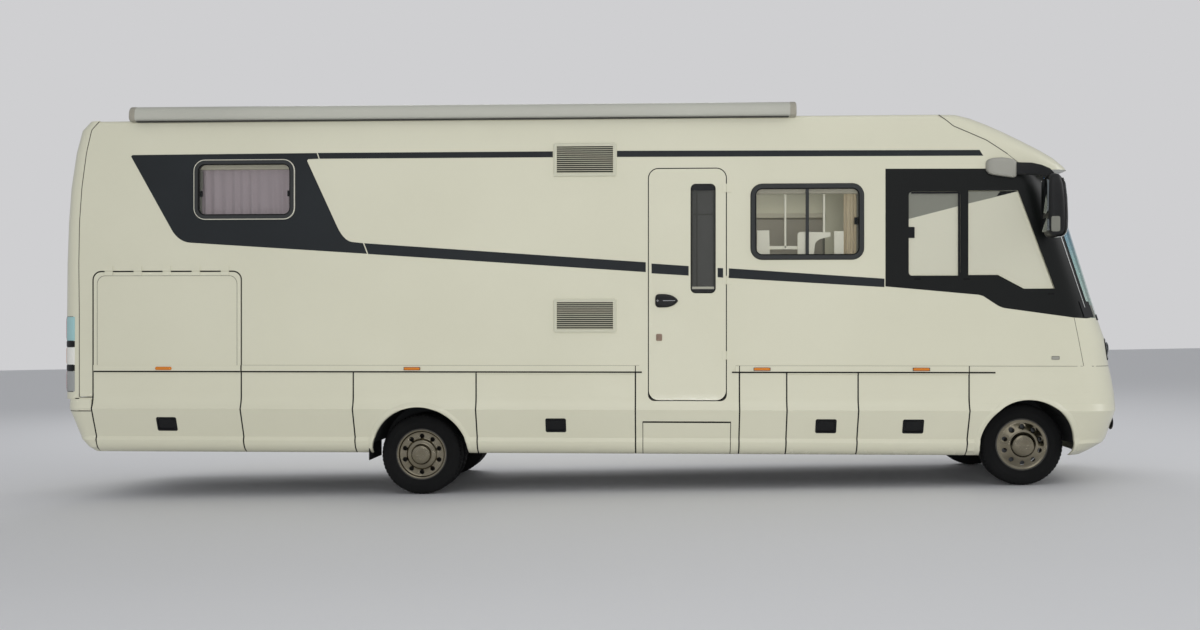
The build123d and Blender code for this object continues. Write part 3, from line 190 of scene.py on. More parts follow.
# Body shell: walls, cab sides, roof, nose, rear moulding and lower panels
# Light ivory gloss paint on aluminium sandwich walls, and gel-coat of the same colour on the mouldings.
# The big sheets are slightly wavy, and road dust clings to the lowest quarter.
def ivory(name, slot, waviness, wave_size, gloss):
    """Gloss ivory with faint uneven colour, dust near the ground and a shallow wave in the surface."""
    material, tree = blank(name, slot)
    spot = add(tree, "ShaderNodeTexCoord")
    clouds = add(tree, "ShaderNodeTexNoise", inputs={"Vector": (spot, "Object"), "Scale": 0.9, "Detail": 3.0})
    tone = add(tree, "ShaderNodeMix", {"data_type": "RGBA"},
               {0: (clouds, 0), 6: hue("#CDCBB5"), 7: hue("#D7D5C0")})
    apart = add(tree, "ShaderNodeSeparateXYZ", inputs={0: (spot, "Object")})
    low = add(tree, "ShaderNodeMapRange", inputs={"Value": (apart, "Z"), "From Min": 0.5, "From Max": 0.2})
    specks = add(tree, "ShaderNodeTexNoise", inputs={"Vector": (spot, "Object"), "Scale": 7.0, "Detail": 8.0})
    dust = add(tree, "ShaderNodeMath", {"operation": "MULTIPLY"}, {0: (low, 0), 1: (specks, 0)})
    thin = add(tree, "ShaderNodeMath", {"operation": "MULTIPLY"}, {0: (dust, 0), 1: 0.12})
    colour = add(tree, "ShaderNodeMix", {"data_type": "RGBA"},
                 {0: (thin, 0), 6: (tone, 2), 7: hue("#8F8B7C")})
    rough = add(tree, "ShaderNodeMapRange", inputs={"Value": (thin, 0), "To Min": gloss, "To Max": 0.6})
    wave = add(tree, "ShaderNodeTexNoise",
               inputs={"Vector": (spot, "Object"), "Scale": 1 / wave_size, "Detail": 1.0})
    bump = add(tree, "ShaderNodeBump", inputs={"Height": (wave, 0), "Strength": waviness, "Distance": 0.02})
    shader = add(tree, "ShaderNodeBsdfPrincipled", inputs={
        "Base Color": (colour, 2), "Roughness": (rough, 0), "Normal": (bump, 0), "Coat Weight": 0.4,
        "Coat Roughness": 0.04, "IOR": 1.5})
    add(tree, "ShaderNodeOutputMaterial", inputs={"Surface": (shader, 0)})
    return material


WALL_PAINT = ivory("gloss_paint_on_aluminium", "ivory_panel", 0.12, 0.9, 0.26)
GEL_COAT = ivory("ivory_gel_coat", "ivory_moulding", 0.08, 0.5, 0.3)


def coat(material, *names):
    """Gives CAD nodes that keep their shape a finish."""
    for name in names:
        for slot in nodes[name].material_slots:
            slot.material = material


coat(WALL_PAINT, "side_wall_right", "side_wall_left", "cab_side_right", "cab_side_left", "roof_panel",
     "skirt_panels", "arch_panels", "entry_door", "entry_step", "garage_door_right", "garage_door_left",
     "locker_door_mid_right", "locker_door_lounge_right", "locker_door_cab_right", "locker_door_mid_left")
coat(GEL_COAT, "roof_cap", "front_mask", "front_bumper", "rear_wall", "rear_bumper")

# Body graphics: dark foil stripes and the black surround of the cab windows
# Cut vinyl foil, half a millimetre thick, laid on the paint: a broad shape round the bedroom window,
# a straight stripe under the roof, one that falls towards the cab, and the black cab surround.
WALL_HALF = 1142.0
NOSE_RADIUS = 3500.0
CORNER_RADIUS = 350.0
# Heights, the foremost point of the nose there, and how far the side stands out from the wall
NOSE_TABLE = np.array([(360, 4262, -150), (402, 4330, -86), (468, 4436, -56), (500, 4460, -66),
                       (742, 4534, 32), (768, 4533, 18), (800, 4532, 7), (840, 4529, 1), (880, 4526, 0),
                       (1028, 4500, 0), (1112, 4480, 0), (1329, 4448, 0), (1513, 4385, 0), (2312, 4137, 0),
                       (2564, 4045, 0), (2738, 3960, 0), (2845, 3902, 0), (2929, 3833, 0), (3068, 3650, 0),
                       (3250, 3270, 0)], float)


def half_width(x, z, lift=0.0):
    """Distance of the outer skin from the middle plane at station x and height z: a flat side, then a
    corner arc, then the wide front arc, which shift with height as the table says."""
    half = WALL_HALF + np.interp(z, NOSE_TABLE[:, 0], NOSE_TABLE[:, 2])
    centre = np.interp(z, NOSE_TABLE[:, 0], NOSE_TABLE[:, 1]) - NOSE_RADIUS
    spread = np.arcsin((half - CORNER_RADIUS) / (NOSE_RADIUS - CORNER_RADIUS))
    corner_x = centre + (NOSE_RADIUS - CORNER_RADIUS) * np.cos(spread)
    ahead = np.maximum(x - corner_x, 0.0)
    corner = half - CORNER_RADIUS + np.sqrt(np.maximum((CORNER_RADIUS + lift) ** 2 - ahead ** 2, 0.0))
    front = np.sqrt(np.maximum((NOSE_RADIUS + lift) ** 2 - (x - centre) ** 2, 0.0))
    return np.where(ahead > CORNER_RADIUS * np.cos(spread), front, corner)


def rounded_over(thing, bevel, segments, **settings):
    """Rounds a piece's edges by a bevel in millimetres."""
    edges = thing.modifiers.new("edges", "BEVEL")
    edges.width = bevel / 1000
    edges.segments = segments
    edges.limit_method = "ANGLE"
    for name, value in settings.items():
        setattr(edges, name, value)


def thickened(thing, thick):
    """Gives a sheet its thickness in millimetres, inwards."""
    wall = thing.modifiers.new("thickness", "SOLIDIFY")
    wall.thickness = thick / 1000
    wall.offset = -1.0


def piece(name, points, faces, material, body="coach_body", slot=None, sharp=35.0, solid=True, bevel=0.0):
    """A mesh from level millimetres that rides on a body and takes the given material; its slot, or its
    material's, is looked up but kept nowhere. A closed solid has its normals turned outwards, and a bevel in
    millimetres rounds its edges."""
    mesh = bpy.data.meshes.new(name)
    mesh.from_pydata(parked(points).tolist(), [], faces)
    if solid:
        form = bmesh.new()
        form.from_mesh(mesh)
        bmesh.ops.recalc_face_normals(form, faces=form.faces)
        form.to_mesh(mesh)
        form.free()
    mesh.shade_smooth()
    mesh.set_sharp_from_angle(angle=math.radians(sharp))
    loops = np.empty(len(mesh.loops), np.int32)
    mesh.loops.foreach_get("edge_index", loops)
    creased = np.empty(len(mesh.edges), bool)
    mesh.edges.foreach_get("use_edge_sharp", creased)
    mesh.edges.foreach_set("use_edge_sharp", creased | (np.bincount(loops, minlength=len(mesh.edges)) == 1))
    mesh.materials.append(material)
    thing = bpy.data.objects.new(name, mesh)
    bpy.context.scene.collection.objects.link(thing)
    if bevel:
        rounded_over(thing, bevel, 2, harden_normals=True)
    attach(thing, body)
    slot or slot_of[material.name]
    return thing


def bend(start, corner, end, steps=8):
    """A rounded corner as a parabola from start to end that leans on the corner point."""
    t = np.linspace(0, 1, steps)[:, None]
    return (1 - t) ** 2 * np.array(start) + 2 * t * (1 - t) * np.array(corner) + t ** 2 * np.array(end)


def filled(outline, holes=(), inner=()):
    """Triangles that fill an outline with holes, as (x, z) points, by way of the inner points if given."""
    loops = [np.asarray(loop, float) for loop in (outline, *holes)]
    starts = np.cumsum([0] + [len(loop) for loop in loops])
    faces = [list(range(a, b)) for a, b in zip(starts[:-1], starts[1:])]
    spots = np.vstack(loops + [np.asarray(inner, float)]) if len(inner) else np.vstack(loops)
    result = delaunay_2d_cdt([tuple(p) for p in spots.tolist()], [], faces, 2, 1e-3)
    return np.array([tuple(v) for v in result[0]]), [list(f) for f in result[2]]


def sliced(flat, faces, stations, heights):
    """Cuts a flat mesh of (x, z) points along the given stations and heights, so that it can bend there."""
    mesh = bpy.data.meshes.new("flat")
    mesh.from_pydata(np.column_stack([flat[:, 0], 0 * flat[:, 0], flat[:, 1]]).tolist(), [], faces)
    form = bmesh.new()
    form.from_mesh(mesh)
    cuts = [((x, 0, 0), (1, 0, 0)) for x in stations] + [((0, 0, z), (0, 0, 1)) for z in heights]
    for place, way in cuts:
        bmesh.ops.bisect_plane(form, geom=form.verts[:] + form.edges[:] + form.faces[:], plane_co=place,
                               plane_no=way)
    form.to_mesh(mesh)
    form.free()
    spots = np.empty(3 * len(mesh.vertices), np.float32)
    mesh.vertices.foreach_get("co", spots)
    faces = [list(face.vertices) for face in mesh.polygons]
    bpy.data.meshes.remove(mesh)
    return spots.reshape(-1, 3)[:, ::2].astype(float), faces


def nose_reach(y, z, lift=0.0):
    """Station of the nose's skin at distance y from the middle plane and height z, by the same arcs."""
    half = WALL_HALF + np.interp(z, NOSE_TABLE[:, 0], NOSE_TABLE[:, 2])
    centre = np.interp(z, NOSE_TABLE[:, 0], NOSE_TABLE[:, 1]) - NOSE_RADIUS
    spread = np.arcsin((half - CORNER_RADIUS) / (NOSE_RADIUS - CORNER_RADIUS))
    beyond = np.abs(y) - (half - CORNER_RADIUS)
    corner_x = centre + (NOSE_RADIUS - CORNER_RADIUS) * np.cos(spread)
    corner = corner_x + np.sqrt(np.maximum((CORNER_RADIUS + lift) ** 2 - beyond ** 2, 0.0))
    front = centre + np.sqrt((NOSE_RADIUS + lift) ** 2 - np.asarray(y, float) ** 2)
    return np.where(beyond > CORNER_RADIUS * np.sin(spread), corner, front)


def upright(flat, y):
    """Flat (x, z) points set at a distance from the middle plane."""
    return np.column_stack([flat[:, 0], np.broadcast_to(y, len(flat)), flat[:, 1]])


NOSE_CURVE = np.arange(3480.5, 4170, 14)
FRONT_CURVE = np.arange(-1130.5, 1140, 28)


def film(name, outline, material, body="coach_body", slot=None, holes=(), lift=0.6, thick=0.5, side=-1,
         bevel=0.0, curved=(), front=False):
    """A sheet that follows the body side: each (x, z) point lies at the skin's half width plus a lift, and
    the sheet's thickness goes inwards from there. On the front the points are (y, z), and lie at the nose's
    reach. It is cut into strips between the curved stations."""
    flat, faces = filled(outline, holes)
    curved = FRONT_CURVE if front else curved
    if len(curved):
        low, high = np.min(flat[:, 1]), np.max(flat[:, 1])
        flat, faces = sliced(flat, faces, curved, np.arange(low + 30, high, 30))
    if front:
        points = np.column_stack([nose_reach(flat[:, 0], flat[:, 1], lift), flat[:, 0], flat[:, 1]])
    else:
        points = np.column_stack([flat[:, 0], side * half_width(flat[:, 0], flat[:, 1], lift), flat[:, 1]])
    first = points[faces[0]]
    outward = np.cross(first[1] - first[0], first[2] - first[0])[0 if front else 1]
    if outward * (1 if front else side) < 0:
        faces = [face[::-1] for face in faces]
    sheet = piece(name, points, faces, material, body, slot=slot, solid=False)
    thickened(sheet, thick)
    if bevel:
        rounded_over(sheet, bevel, 3, angle_limit=math.radians(50))


foil = finish("graphite_vinyl_foil", "frame_plastic", ("#191C1E", "#24282B"),
              {"Roughness": 0.38, "Specular IOR Level": 0.35}, (1.6, 4.0))

BROAD = np.vstack([[(-3930, 2911), (-2333, 2917), (-2316, 2868), (-2405, 2865)],
                   [(-2416, 2852)], bend((-2160, 2297), (-2101, 2167), (-2022, 2159)),
                   [(-1936, 2150), (-1901, 2059)], bend((-3425, 2158), (-3531, 2165), (-3594, 2279)),
                   [(-3942, 2898)]])
BEDROOM = (-3391.0, -2522.0, 2356.0, 2863.0)
LOUNGE = (1341.0, 2276.0, 2001.0, 2631.0)
KITCHEN = (-200.0, 735.0, 2001.0, 2631.0)
WINDOW_CORNER = 95.0
# Stripes of the right side and of the left side, which has no vent or door to break them
STRIPES = [("under_roof_rear", -1, [(-2324, 2918), (-319, 2917), (-319, 2867), (-2307, 2868)]),
           ("under_roof_front", -1, [(221, 2918), (3228, 2904), (3258, 2856), (221, 2866)]),
           ("falling_rear", -1, [(-1925, 2149), (463, 1981), (463, 1898), (-1890, 2057)]),
           ("falling_front", -1, [(1158, 1928), (2447, 1839), (2447, 1768), (1158, 1847)]),
           ("under_roof", 1, [(-2324, 2918), (3228, 2904), (3258, 2856), (-2307, 2868)]),
           ("falling", 1, [(-1925, 2149), (2447, 1839), (2447, 1768), (-1890, 2057)])]


def rounded(x0, x1, z0, z1, radius, steps=8):
    """A rectangle with quarter-circle corners, from the lower right corner round against the clock."""
    turn = np.linspace(0, math.pi / 2, steps + 1)
    corners = [((x1 - radius, z0 + radius), -math.pi / 2), ((x1 - radius, z1 - radius), 0.0),
               ((x0 + radius, z1 - radius), math.pi / 2), ((x0 + radius, z0 + radius), math.pi)]
    return np.vstack([np.column_stack([cx + radius * np.cos(turn + start),
                                       cz + radius * np.sin(turn + start)])
                      for (cx, cz), start in corners])


SIDES = ((-1, "right"), (1, "left"))
for side, word in SIDES:
    film(f"bedroom_graphic_{word}", BROAD, foil, holes=[rounded(*BEDROOM, WINDOW_CORNER)], side=side)
for name, side, outline in STRIPES:
    word = dict(SIDES)[side]
    film(f"stripe_{name}_{word}", outline, foil, side=side)
DOOR_STRIPES = {"rear": [(511, 1970), (822, 1948), (822, 1868), (511, 1887)],
                "front": [(1064, 1932), (1110, 1929), (1110, 1850), (1064, 1853)]}
for name, outline in DOOR_STRIPES.items():
    film(f"door_stripe_{name}", outline, foil, "entry_door")

# Black surround of the cab windows, from the seam behind the windows round to the windscreen's edge
REAR_PANE = (2647.0, 3070.0, 1862.0, 2562.0)
FRONT_PANE = np.array([(3136, 1866), (3136, 2568), (3540, 2568), (3840, 1755), (3592, 1752), (3380, 1866)],
                      float)
SURROUND = np.vstack([[(2455, 2753), (3285, 2749), (3744, 2737), (4158, 1513), (4114, 1508), (3996, 1514)],
                      bend((3430, 1593), (3405, 1600), (3380, 1612), 4),
                      bend((3262, 1690), (3240, 1700), (3215, 1704), 4), [(2455, 1774)]])
gloss_black = finish("black_gloss_foil", "frame_plastic", "#0D0F0E",
                     {"Roughness": 0.3, "Specular IOR Level": 0.35})
for side, word in SIDES:
    film(f"cab_surround_{word}", SURROUND, gloss_black, holes=[rounded(*REAR_PANE, 30.0), FRONT_PANE],
         side=side, lift=0.8, thick=0.7, curved=NOSE_CURVE)

# Seals of the lower panels, the belt line and the wheel arch lips
# The panels and doors are shut against black rubber that fills the gaps between them; a black rubber
# strip covers the hinge line under the belt rail; the arches end in a rolled lip of the panel's own paint.
PANEL_TOP = 1056.0
PANEL_FOOT = 361.0
SEAL_SUNK = 0.4
SEAL_DEEP = 18.0
SEAL_HALF = 5.8
SHUT_LINES = (-4275.0, -2984.0, -2019.0, -970.0, 376.0, 1246.0, 1639.0, 2230.0, 3142.0)


def gritty(scale, detail, strength, depth):
    """The relief of a finely rough surface: its texture, settings, inputs, strength and depth."""
    return "ShaderNodeTexNoise", None, {"Scale": scale, "Detail": detail}, strength, depth


def rubber(name, slot, shade, worn="#141414"):
    """Rubber: nearly matt, with a fine grain and a little road dust."""
    return finish(name, slot, (shade, worn), {"Roughness": 0.62, "Specular IOR Level": 0.25}, (60.0, 3.0),
                  relief=gritty(60.0, 3.0, 0.2, 0.001))


SEAL_RUBBER = rubber("epdm_rubber", "black_plastic", "#070708")


def lattice(points, around=False, along=False, ends=False):
    """Quads over a grid of points: around closes each row into a loop, along joins the last row to the
    first, and ends fills the first and the last row."""
    rows, columns = points.shape[:2]
    r, c = np.meshgrid(np.arange(rows if along else rows - 1), np.arange(columns if around else columns - 1),
                       indexing="ij")
    r2, c2 = (r + 1) % rows, (c + 1) % columns
    faces = np.stack([r * columns + c, r * columns + c2, r2 * columns + c2, r2 * columns + c], -1)
    faces = faces.reshape(-1, 4).tolist()
    if ends:
        faces += [list(range(columns))[::-1], list(range((rows - 1) * columns, rows * columns))]
    return points.reshape(-1, 3), faces


def closed(rows):
    """Closed loops joined in order, with the first and the last one filled."""
    return lattice(np.asarray(rows), around=True, ends=True)


def hoop(rows):
    """Closed loops joined in order, the last one to the first."""
    return lattice(np.asarray(rows), around=True, along=True)


def bead(row, near, far, low, high):
    """A thin bar along a line: row(aside, lift) gives the line moved aside and lifted off the skin, here for
    the bar's four corners."""
    corners = (near, low), (far, low), (far, high), (near, high)
    return closed(np.stack([row(*corner) for corner in corners], 1))


def side_strip(x0, x1, z, sunk, deep, side):
    """A strip that follows the body side at the heights z, from x0 to x1 and from sunk to deep below it."""
    def row(x, lift):
        """One upright line of the strip, at a station and a lift."""
        return np.column_stack([np.full(len(z), x), side * (half_width(x, z) + lift), z])

    return bead(row, x0, x1, -sunk, -deep)


def block(x, y, z):
    """A straight bar between two stations, two distances across and two heights."""
    corners = (y[0], z[0]), (y[1], z[0]), (y[1], z[1]), (y[0], z[1])
    return closed([[(end, *corner) for corner in corners] for end in x])


def joined(parts):
    """Several meshes as one: points stacked, faces numbered on."""
    points, faces, count = [], [], 0
    for part_points, part_faces in parts:
        points.append(part_points)
        faces += [[index + count for index in face] for face in part_faces]
        count += len(part_points)
    return np.vstack(points), faces


panel_heights = np.concatenate([[PANEL_TOP, 900], np.linspace(880, 742, 9), [620, 500, 468],
                                np.linspace(446, PANEL_FOOT, 7)])
for side, word in SIDES:
    strips = [side_strip(x - SEAL_HALF, x + SEAL_HALF, panel_heights, SEAL_SUNK, SEAL_DEEP, side)
              for x in SHUT_LINES]
    piece(f"panel_seals_{word}", *joined(strips), SEAL_RUBBER)

# Belt strip: body, side, rear end, front end
BELT_Z = (1052.0, 1064.0)
RAIL_PROUD = 8.0
BELT_STRIPS = [("coach_body", -1, -2990.0, 431.0), ("coach_body", -1, 1183.0, 3356.0),
               ("coach_body", 1, -2990.0, 3356.0), ("garage_door_right", -1, -4266.0, -2992.0),
               ("garage_door_left", 1, -4266.0, -2992.0)]
for number, (body, side, rear, front) in enumerate(BELT_STRIPS):
    y = (side * (WALL_HALF + RAIL_PROUD), side * (WALL_HALF + RAIL_PROUD + 2.0))
    piece(f"belt_strip_{number}", *block((rear, front), y, BELT_Z), SEAL_RUBBER, body, bevel=0.6)

# Thin sealant line where the belt rail meets the wall above it
SEALANT = finish("grey_polyurethane_sealant", "frame_plastic", "#6E6C61", {"Roughness": 0.55})
BELT_TOP = 1112.0
for side, rear, front in ((-1, -2972.0, 409.0), (-1, 1213.0, 4070.0), (1, -2972.0, 4070.0)):
    stations = np.linspace(rear, front, 40)

    def sealant_row(lift, height):
        """The line along the rail's top, lifted off the skin, at a height."""
        return np.column_stack([stations, side * (half_width(stations, BELT_TOP) + lift),
                                np.full(40, height)])

    line = bead(sealant_row, -1, 1, BELT_TOP - 1.5, BELT_TOP + 2)
    piece(f"belt_sealant_{dict(SIDES)[side]}_{int(rear)}", *line, SEALANT)

# Where panels and doors part, a black line crosses the belt rail
for side, word in SIDES:
    y = side * (WALL_HALF + 6), side * (WALL_HALF + 8.8)
    cuts = [block((x - 3.5, x + 3.5), y, (BELT_Z[1], BELT_TOP)) for x in (-2984.0, 376.0, 1246.0, 3142.0)]
    piece(f"belt_rail_joints_{word}", *joined(cuts), SEAL_RUBBER)

# Arch lip: wheel, axle and arch radius
ARCHES = [("rear", REAR_AXLE, 415.0), ("front", FRONT_AXLE, 388.0)]
# Section of the lip: distance out from the arch's edge, and lift above the panel
LIP = np.array([(46, -1), (40, 1.5), (30, 6), (18, 10), (8, 11), (1, 8), (-2, 0), (-2, -22), (4, -22),
                (4, -2)], float)


def arch_lip(x, z, radius, side):
    """The lip's section carried round the arch: each point lies at the arch's radius plus its distance out,
    and stands off the panel's own surface by its lift."""
    foot = math.asin((PANEL_FOOT - 1 - z) / radius)
    turn = np.linspace(foot, math.pi - foot, 61)[:, None]
    reach = radius + LIP[:, 0]
    px = x + reach * np.cos(turn)
    pz = np.maximum(z + reach * np.sin(turn), PANEL_FOOT)
    return np.stack([px, side * (half_width(px, pz) + LIP[:, 1]), pz], -1)


for wheel, (x, _, z), radius in ARCHES:
    for side, word in SIDES:
        piece(f"{wheel}_arch_lip_{word}", *closed(arch_lip(x, z, radius, side)), WALL_PAINT, sharp=50)

# Handles of the lower doors: a black moulded cup in the door's pocket, with a hinged paddle
HANDLE_Z = (552.0, 662.0)
HANDLE_LONG = 165.0
HANDLES = [("garage_door_right", -1, -3721.0), ("garage_door_left", 1, -3721.0),
           ("locker_door_mid_right", -1, -379.0), ("locker_door_mid_left", 1, -379.0),
           ("locker_door_lounge_right", -1, 1884.0), ("locker_door_cab_right", -1, 2605.0)]


def leathery(grain_size, strength, depth):
    """The relief of a mould's etched grain, in small cells of the given size in millimetres."""
    return "ShaderNodeTexVoronoi", None, {"Scale": 1000 / grain_size}, strength, depth


grained_black = finish("grained_black_abs", "black_plastic", "#0C0D10",
                       {"Roughness": 0.42, "Specular IOR Level": 0.35},
                       relief=leathery(1000 / 420, 0.35, 0.0006))
for body, side, rear in HANDLES:
    outer = rounded(rear - 5, rear + HANDLE_LONG + 5, HANDLE_Z[0] - 5, HANDLE_Z[1] + 5, 15.0)
    inner = rounded(rear + 8, rear + HANDLE_LONG - 8, HANDLE_Z[0] + 8, HANDLE_Z[1] - 8, 8.0)
    film(f"{body}_handle_rim", outer, grained_black, body, holes=[inner], side=side, lift=2.5, thick=14.0,
         bevel=1.2)
    film(f"{body}_handle_cup", inner, grained_black, body, side=side, lift=-9.0, thick=4.5)
    paddle = rounded(rear + 12, rear + HANDLE_LONG - 12, HANDLE_Z[0] + 30, HANDLE_Z[1] - 12, 8.0)
    film(f"{body}_handle_paddle", paddle, grained_black, body, side=side, lift=-1.5, thick=6.0, bevel=2.0)

# Windows of the living space
# Double acrylic panes in moulded dark grey frames on a rubber bead. The bedroom ones have a cream outer
# bead and mauve curtains; the others have a middle post, a cassette blind and a latch at the front edge.
def moulded(name, slot, shade, rough=0.45, grain_size=1.5, strength=0.25):
    """Moulded plastic: one colour with a fine leather-like grain of the given size in millimetres."""
    return finish(name, slot, shade, {"IOR": 1.5}, (2.5, 3.0), (rough - 0.06, rough + 0.08),
                  leathery(grain_size, strength, 0.0004))


def tinted(name, shade, alpha):
    """Clear pane: a dark tint that lets most light through, under a glossy surface."""
    return finish(name, None, shade, {"Alpha": alpha, "IOR": 1.49}, (3.0, 2.0), (0.03, 0.08))


THREAD = 2.0


def cloth(name, slot, shade):
    """Woven fabric: two sets of ribs at the thread spacing in millimetres, drawn coarse enough to show."""
    material, tree = blank(name, slot)
    spot = add(tree, "ShaderNodeTexCoord")
    warp, weft = [add(tree, "ShaderNodeTexWave", {"bands_direction": way},
                      {"Vector": (spot, "Object"), "Scale": 1000 / THREAD / 20, "Distortion": 0.3})
                  for way in "ZX"]
    both = add(tree, "ShaderNodeMath", {"operation": "ADD"}, {0: (warp, 1), 1: (weft, 1)})
    bump = add(tree, "ShaderNodeBump", inputs={"Height": (both, 0), "Strength": 0.4, "Distance": 0.0006})
    shader = add(tree, "ShaderNodeBsdfPrincipled", inputs={
        "Base Color": hue(shade), "Roughness": 0.85, "Normal": (bump, 0), "Sheen Weight": 0.3,
        "Sheen Roughness": 0.5})
    add(tree, "ShaderNodeOutputMaterial", inputs={"Surface": (shader, 0)})
    return material


frame_grey = moulded("moulded_grey_frame", "frame_plastic", "#2B2D2D")
cream_bead = rubber("cream_tpe_bead", "frame_plastic", "#DEDCCD", "#CFCCBB")
coat(frame_grey, "window_frames")
coat(tinted("tinted_acrylic", "#1F2422", 0.1), "side_glass")


def window_ring(box, radius, profile, side):
    """A closed section carried round a window: each (inset, rise) pair is a rounded rectangle drawn in by
    the inset and standing off the wall by the rise."""
    loops = []
    for inset, rise in profile:
        flat = rounded(box[0] + inset, box[1] - inset, box[2] + inset, box[3] - inset, max(radius - inset, 4))
        loops.append(upright(flat, side * (WALL_HALF + rise)))
    return hoop(np.stack(loops, 1))


OUTER_BEAD = [(-3, -2), (-3, 8), (-2, 13), (0, 15.4), (3, 15.4), (4, 14), (4, 5)]
PANE_BEAD = [(35, 9), (35, 15), (38, 15.6), (42, 14.2), (44, 11), (44, 9)]
FOOT_BEAD = [(-4, -2), (-4, 4), (-1, 6), (3, 6), (3, -2)]
WINDOWS = [("bedroom", BEDROOM, -1), ("bedroom", BEDROOM, 1), ("lounge", LOUNGE, -1), ("lounge", LOUNGE, 1),
           ("kitchen", KITCHEN, 1)]
for room, box, side in WINDOWS:
    tail = f"{room}_{dict(SIDES)[side]}"
    profile, material = (OUTER_BEAD, cream_bead) if room == "bedroom" else (FOOT_BEAD, SEAL_RUBBER)
    outer = window_ring(box, WINDOW_CORNER, profile, side)
    piece(f"window_outer_bead_{tail}", *outer, material, slot="frame_plastic", sharp=60)
    piece(f"window_pane_bead_{tail}", *window_ring(box, WINDOW_CORNER, PANE_BEAD, side), SEAL_RUBBER,
          sharp=60)

# Inside each window: a roller cassette, guide rails and latches, and curtains or furniture behind them
INNER = WALL_HALF - 35.0
cassette_cream = moulded("moulded_cream_cassette", "frame_plastic", "#B9B5A2", 0.5)
rail_grey = moulded("anodised_grey_rail", "frame_plastic", "#77776E", 0.35, 0.8)
mauve = cloth("mauve_woven_curtain", "lining", "#ACA1A4")
beige = cloth("beige_woven_curtain", "lining", "#C9BC9F")
for room, box, side in WINDOWS:
    word = dict(SIDES)[side]
    x0, x1, z0, z1 = box

    def deep(a, b):
        """Two depths behind the wall's inner face on this side."""
        return side * (INNER - a), side * (INNER - b)

    top = block((x0 + 30, x1 - 30), deep(-2, 40), (z1 - 78, z1 - 30))
    piece(f"blind_cassette_{room}_{word}", *top, cassette_cream, bevel=5)
    rails = [block((x, x + 14), deep(-2, 14), (z0 + 36, z1 - 78)) for x in (x0 + 36, x1 - 50)]
    piece(f"blind_rails_{room}_{word}", *joined(rails), rail_grey, bevel=2)


def gathered(x, z, depth, folds, deep, side):
    """A hung curtain: its distance from the wall swings as a sine along the rail, shallow where it is
    gathered and full at the hem; a slower sine makes the folds uneven."""
    u = np.linspace(0, 1, 10 * folds + 1)[None, :]
    v = np.linspace(0, 1, 9)[:, None]
    fold = np.sin(2 * math.pi * (folds * u + 0.12 * np.sin(7 * u)) + 0.5 * v)
    swing = deep * (0.5 + 0.5 * (1 - v)) * fold * (1 + 0.25 * np.sin(11 * u))
    px = x[0] + (x[1] - x[0]) * u + 0 * v
    return np.stack([px, side * (INNER - depth - swing), z[0] + (z[1] - z[0]) * v + 0 * u], -1)


CURTAINS = [("bedroom", -1, (-3362, -2962), 5), ("bedroom", -1, (-2962, -2550), 5),
            ("bedroom", 1, (-3362, -2962), 5), ("bedroom", 1, (-2962, -2550), 5),
            ("lounge", -1, (2125, 2232), 4)]
for number, (room, side, x, folds) in enumerate(CURTAINS):
    word = dict(SIDES)[side]
    z0, z1 = {"bedroom": BEDROOM, "lounge": LOUNGE}[room][2:]
    grid = gathered(x, (z0 + 20, z1 - 60), 32 if room == "bedroom" else 58, folds, 9.0, side)
    curtain = piece(f"curtain_{room}_{word}_{number}", *lattice(grid if side < 0 else grid[:, ::-1]),
                    mauve if room == "bedroom" else beige, solid=False)
    thickened(curtain, 1.2)

# Middle post and latch of the lounge and kitchen windows, latches and stays of the bedroom ones
for room, box, side in WINDOWS:
    word = dict(SIDES)[side]
    x0, x1, z0, z1 = box
    if room == "bedroom":
        latches = [block((x, x + 22), (side * (INNER + 18), side * (INNER + 34)), (z0 + 195, z0 + 245))
                   for x in (x0 + 46, x1 - 66)]
        stay = block((x0 + 58, x0 + 68), (side * (INNER + 12), side * (INNER + 22)), (z0 + 260, z1 - 96))
        piece(f"window_stay_{room}_{word}", *stay, rail_grey, bevel=3)
    else:
        middle = (x0 + x1) / 2
        post = block((middle - 14, middle + 14), (side * (WALL_HALF + 3), side * (WALL_HALF + 13)),
                     (z0 + 36, z1 - 36))
        piece(f"window_post_{room}_{word}", *post, frame_grey, bevel=2.5)
        latches = [block((x1 - 76, x1 - 44), (side * (INNER + 18), side * (INNER + 34)),
                         (z0 + 290, z0 + 350))]
    piece(f"window_latches_{room}_{word}", *joined(latches), grained_black, bevel=4)

# Furniture edges seen in the lounge window: bench sides and a table support of cream laminated board
BOARDS = {"bench_end_rear": [(1398, 1985), (1506, 1985), (1500, 2250), (1398, 2250)],
          "table_support": np.vstack([[(1737, 1985), (1868, 1985), (1880, 2118)],
                                      bend((1886, 2140), (1900, 2168), (1935, 2178)),
                                      [(2012, 2197), (2012, 2232)],
                                      bend((1765, 2236), (1738, 2236), (1737, 2205))]),
          "bench_end_front": [(2042, 1985), (2122, 1985), (2122, 2242), (2042, 2242)]}
laminate = moulded("cream_laminated_board", "cabinet", "#EFEDD9", 0.5, 0.8)


def board(outline, y):
    """A flat outline of (x, z) points given a thickness from y[0] to y[1]."""
    return closed([upright(np.asarray(outline, float), depth) for depth in y])


for name, outline in BOARDS.items():
    piece(name, *board(outline, (-1072, -1047)), laminate, bevel=2)
stays = [block((x, x + 16), (-1060, -1020), (z, 2560)) for x, z in ((1628, 2100), (1952, 2230))]
stays.append(block((1500, 1740), (-1060, -1040), (2091, 2119)))
piece("lounge_shelf_uprights", *joined(stays), laminate, bevel=2)
piece("lounge_shelf_board", *block((1395, 2250), (-1100, -1040), (1966, 1985)), laminate, bevel=2)

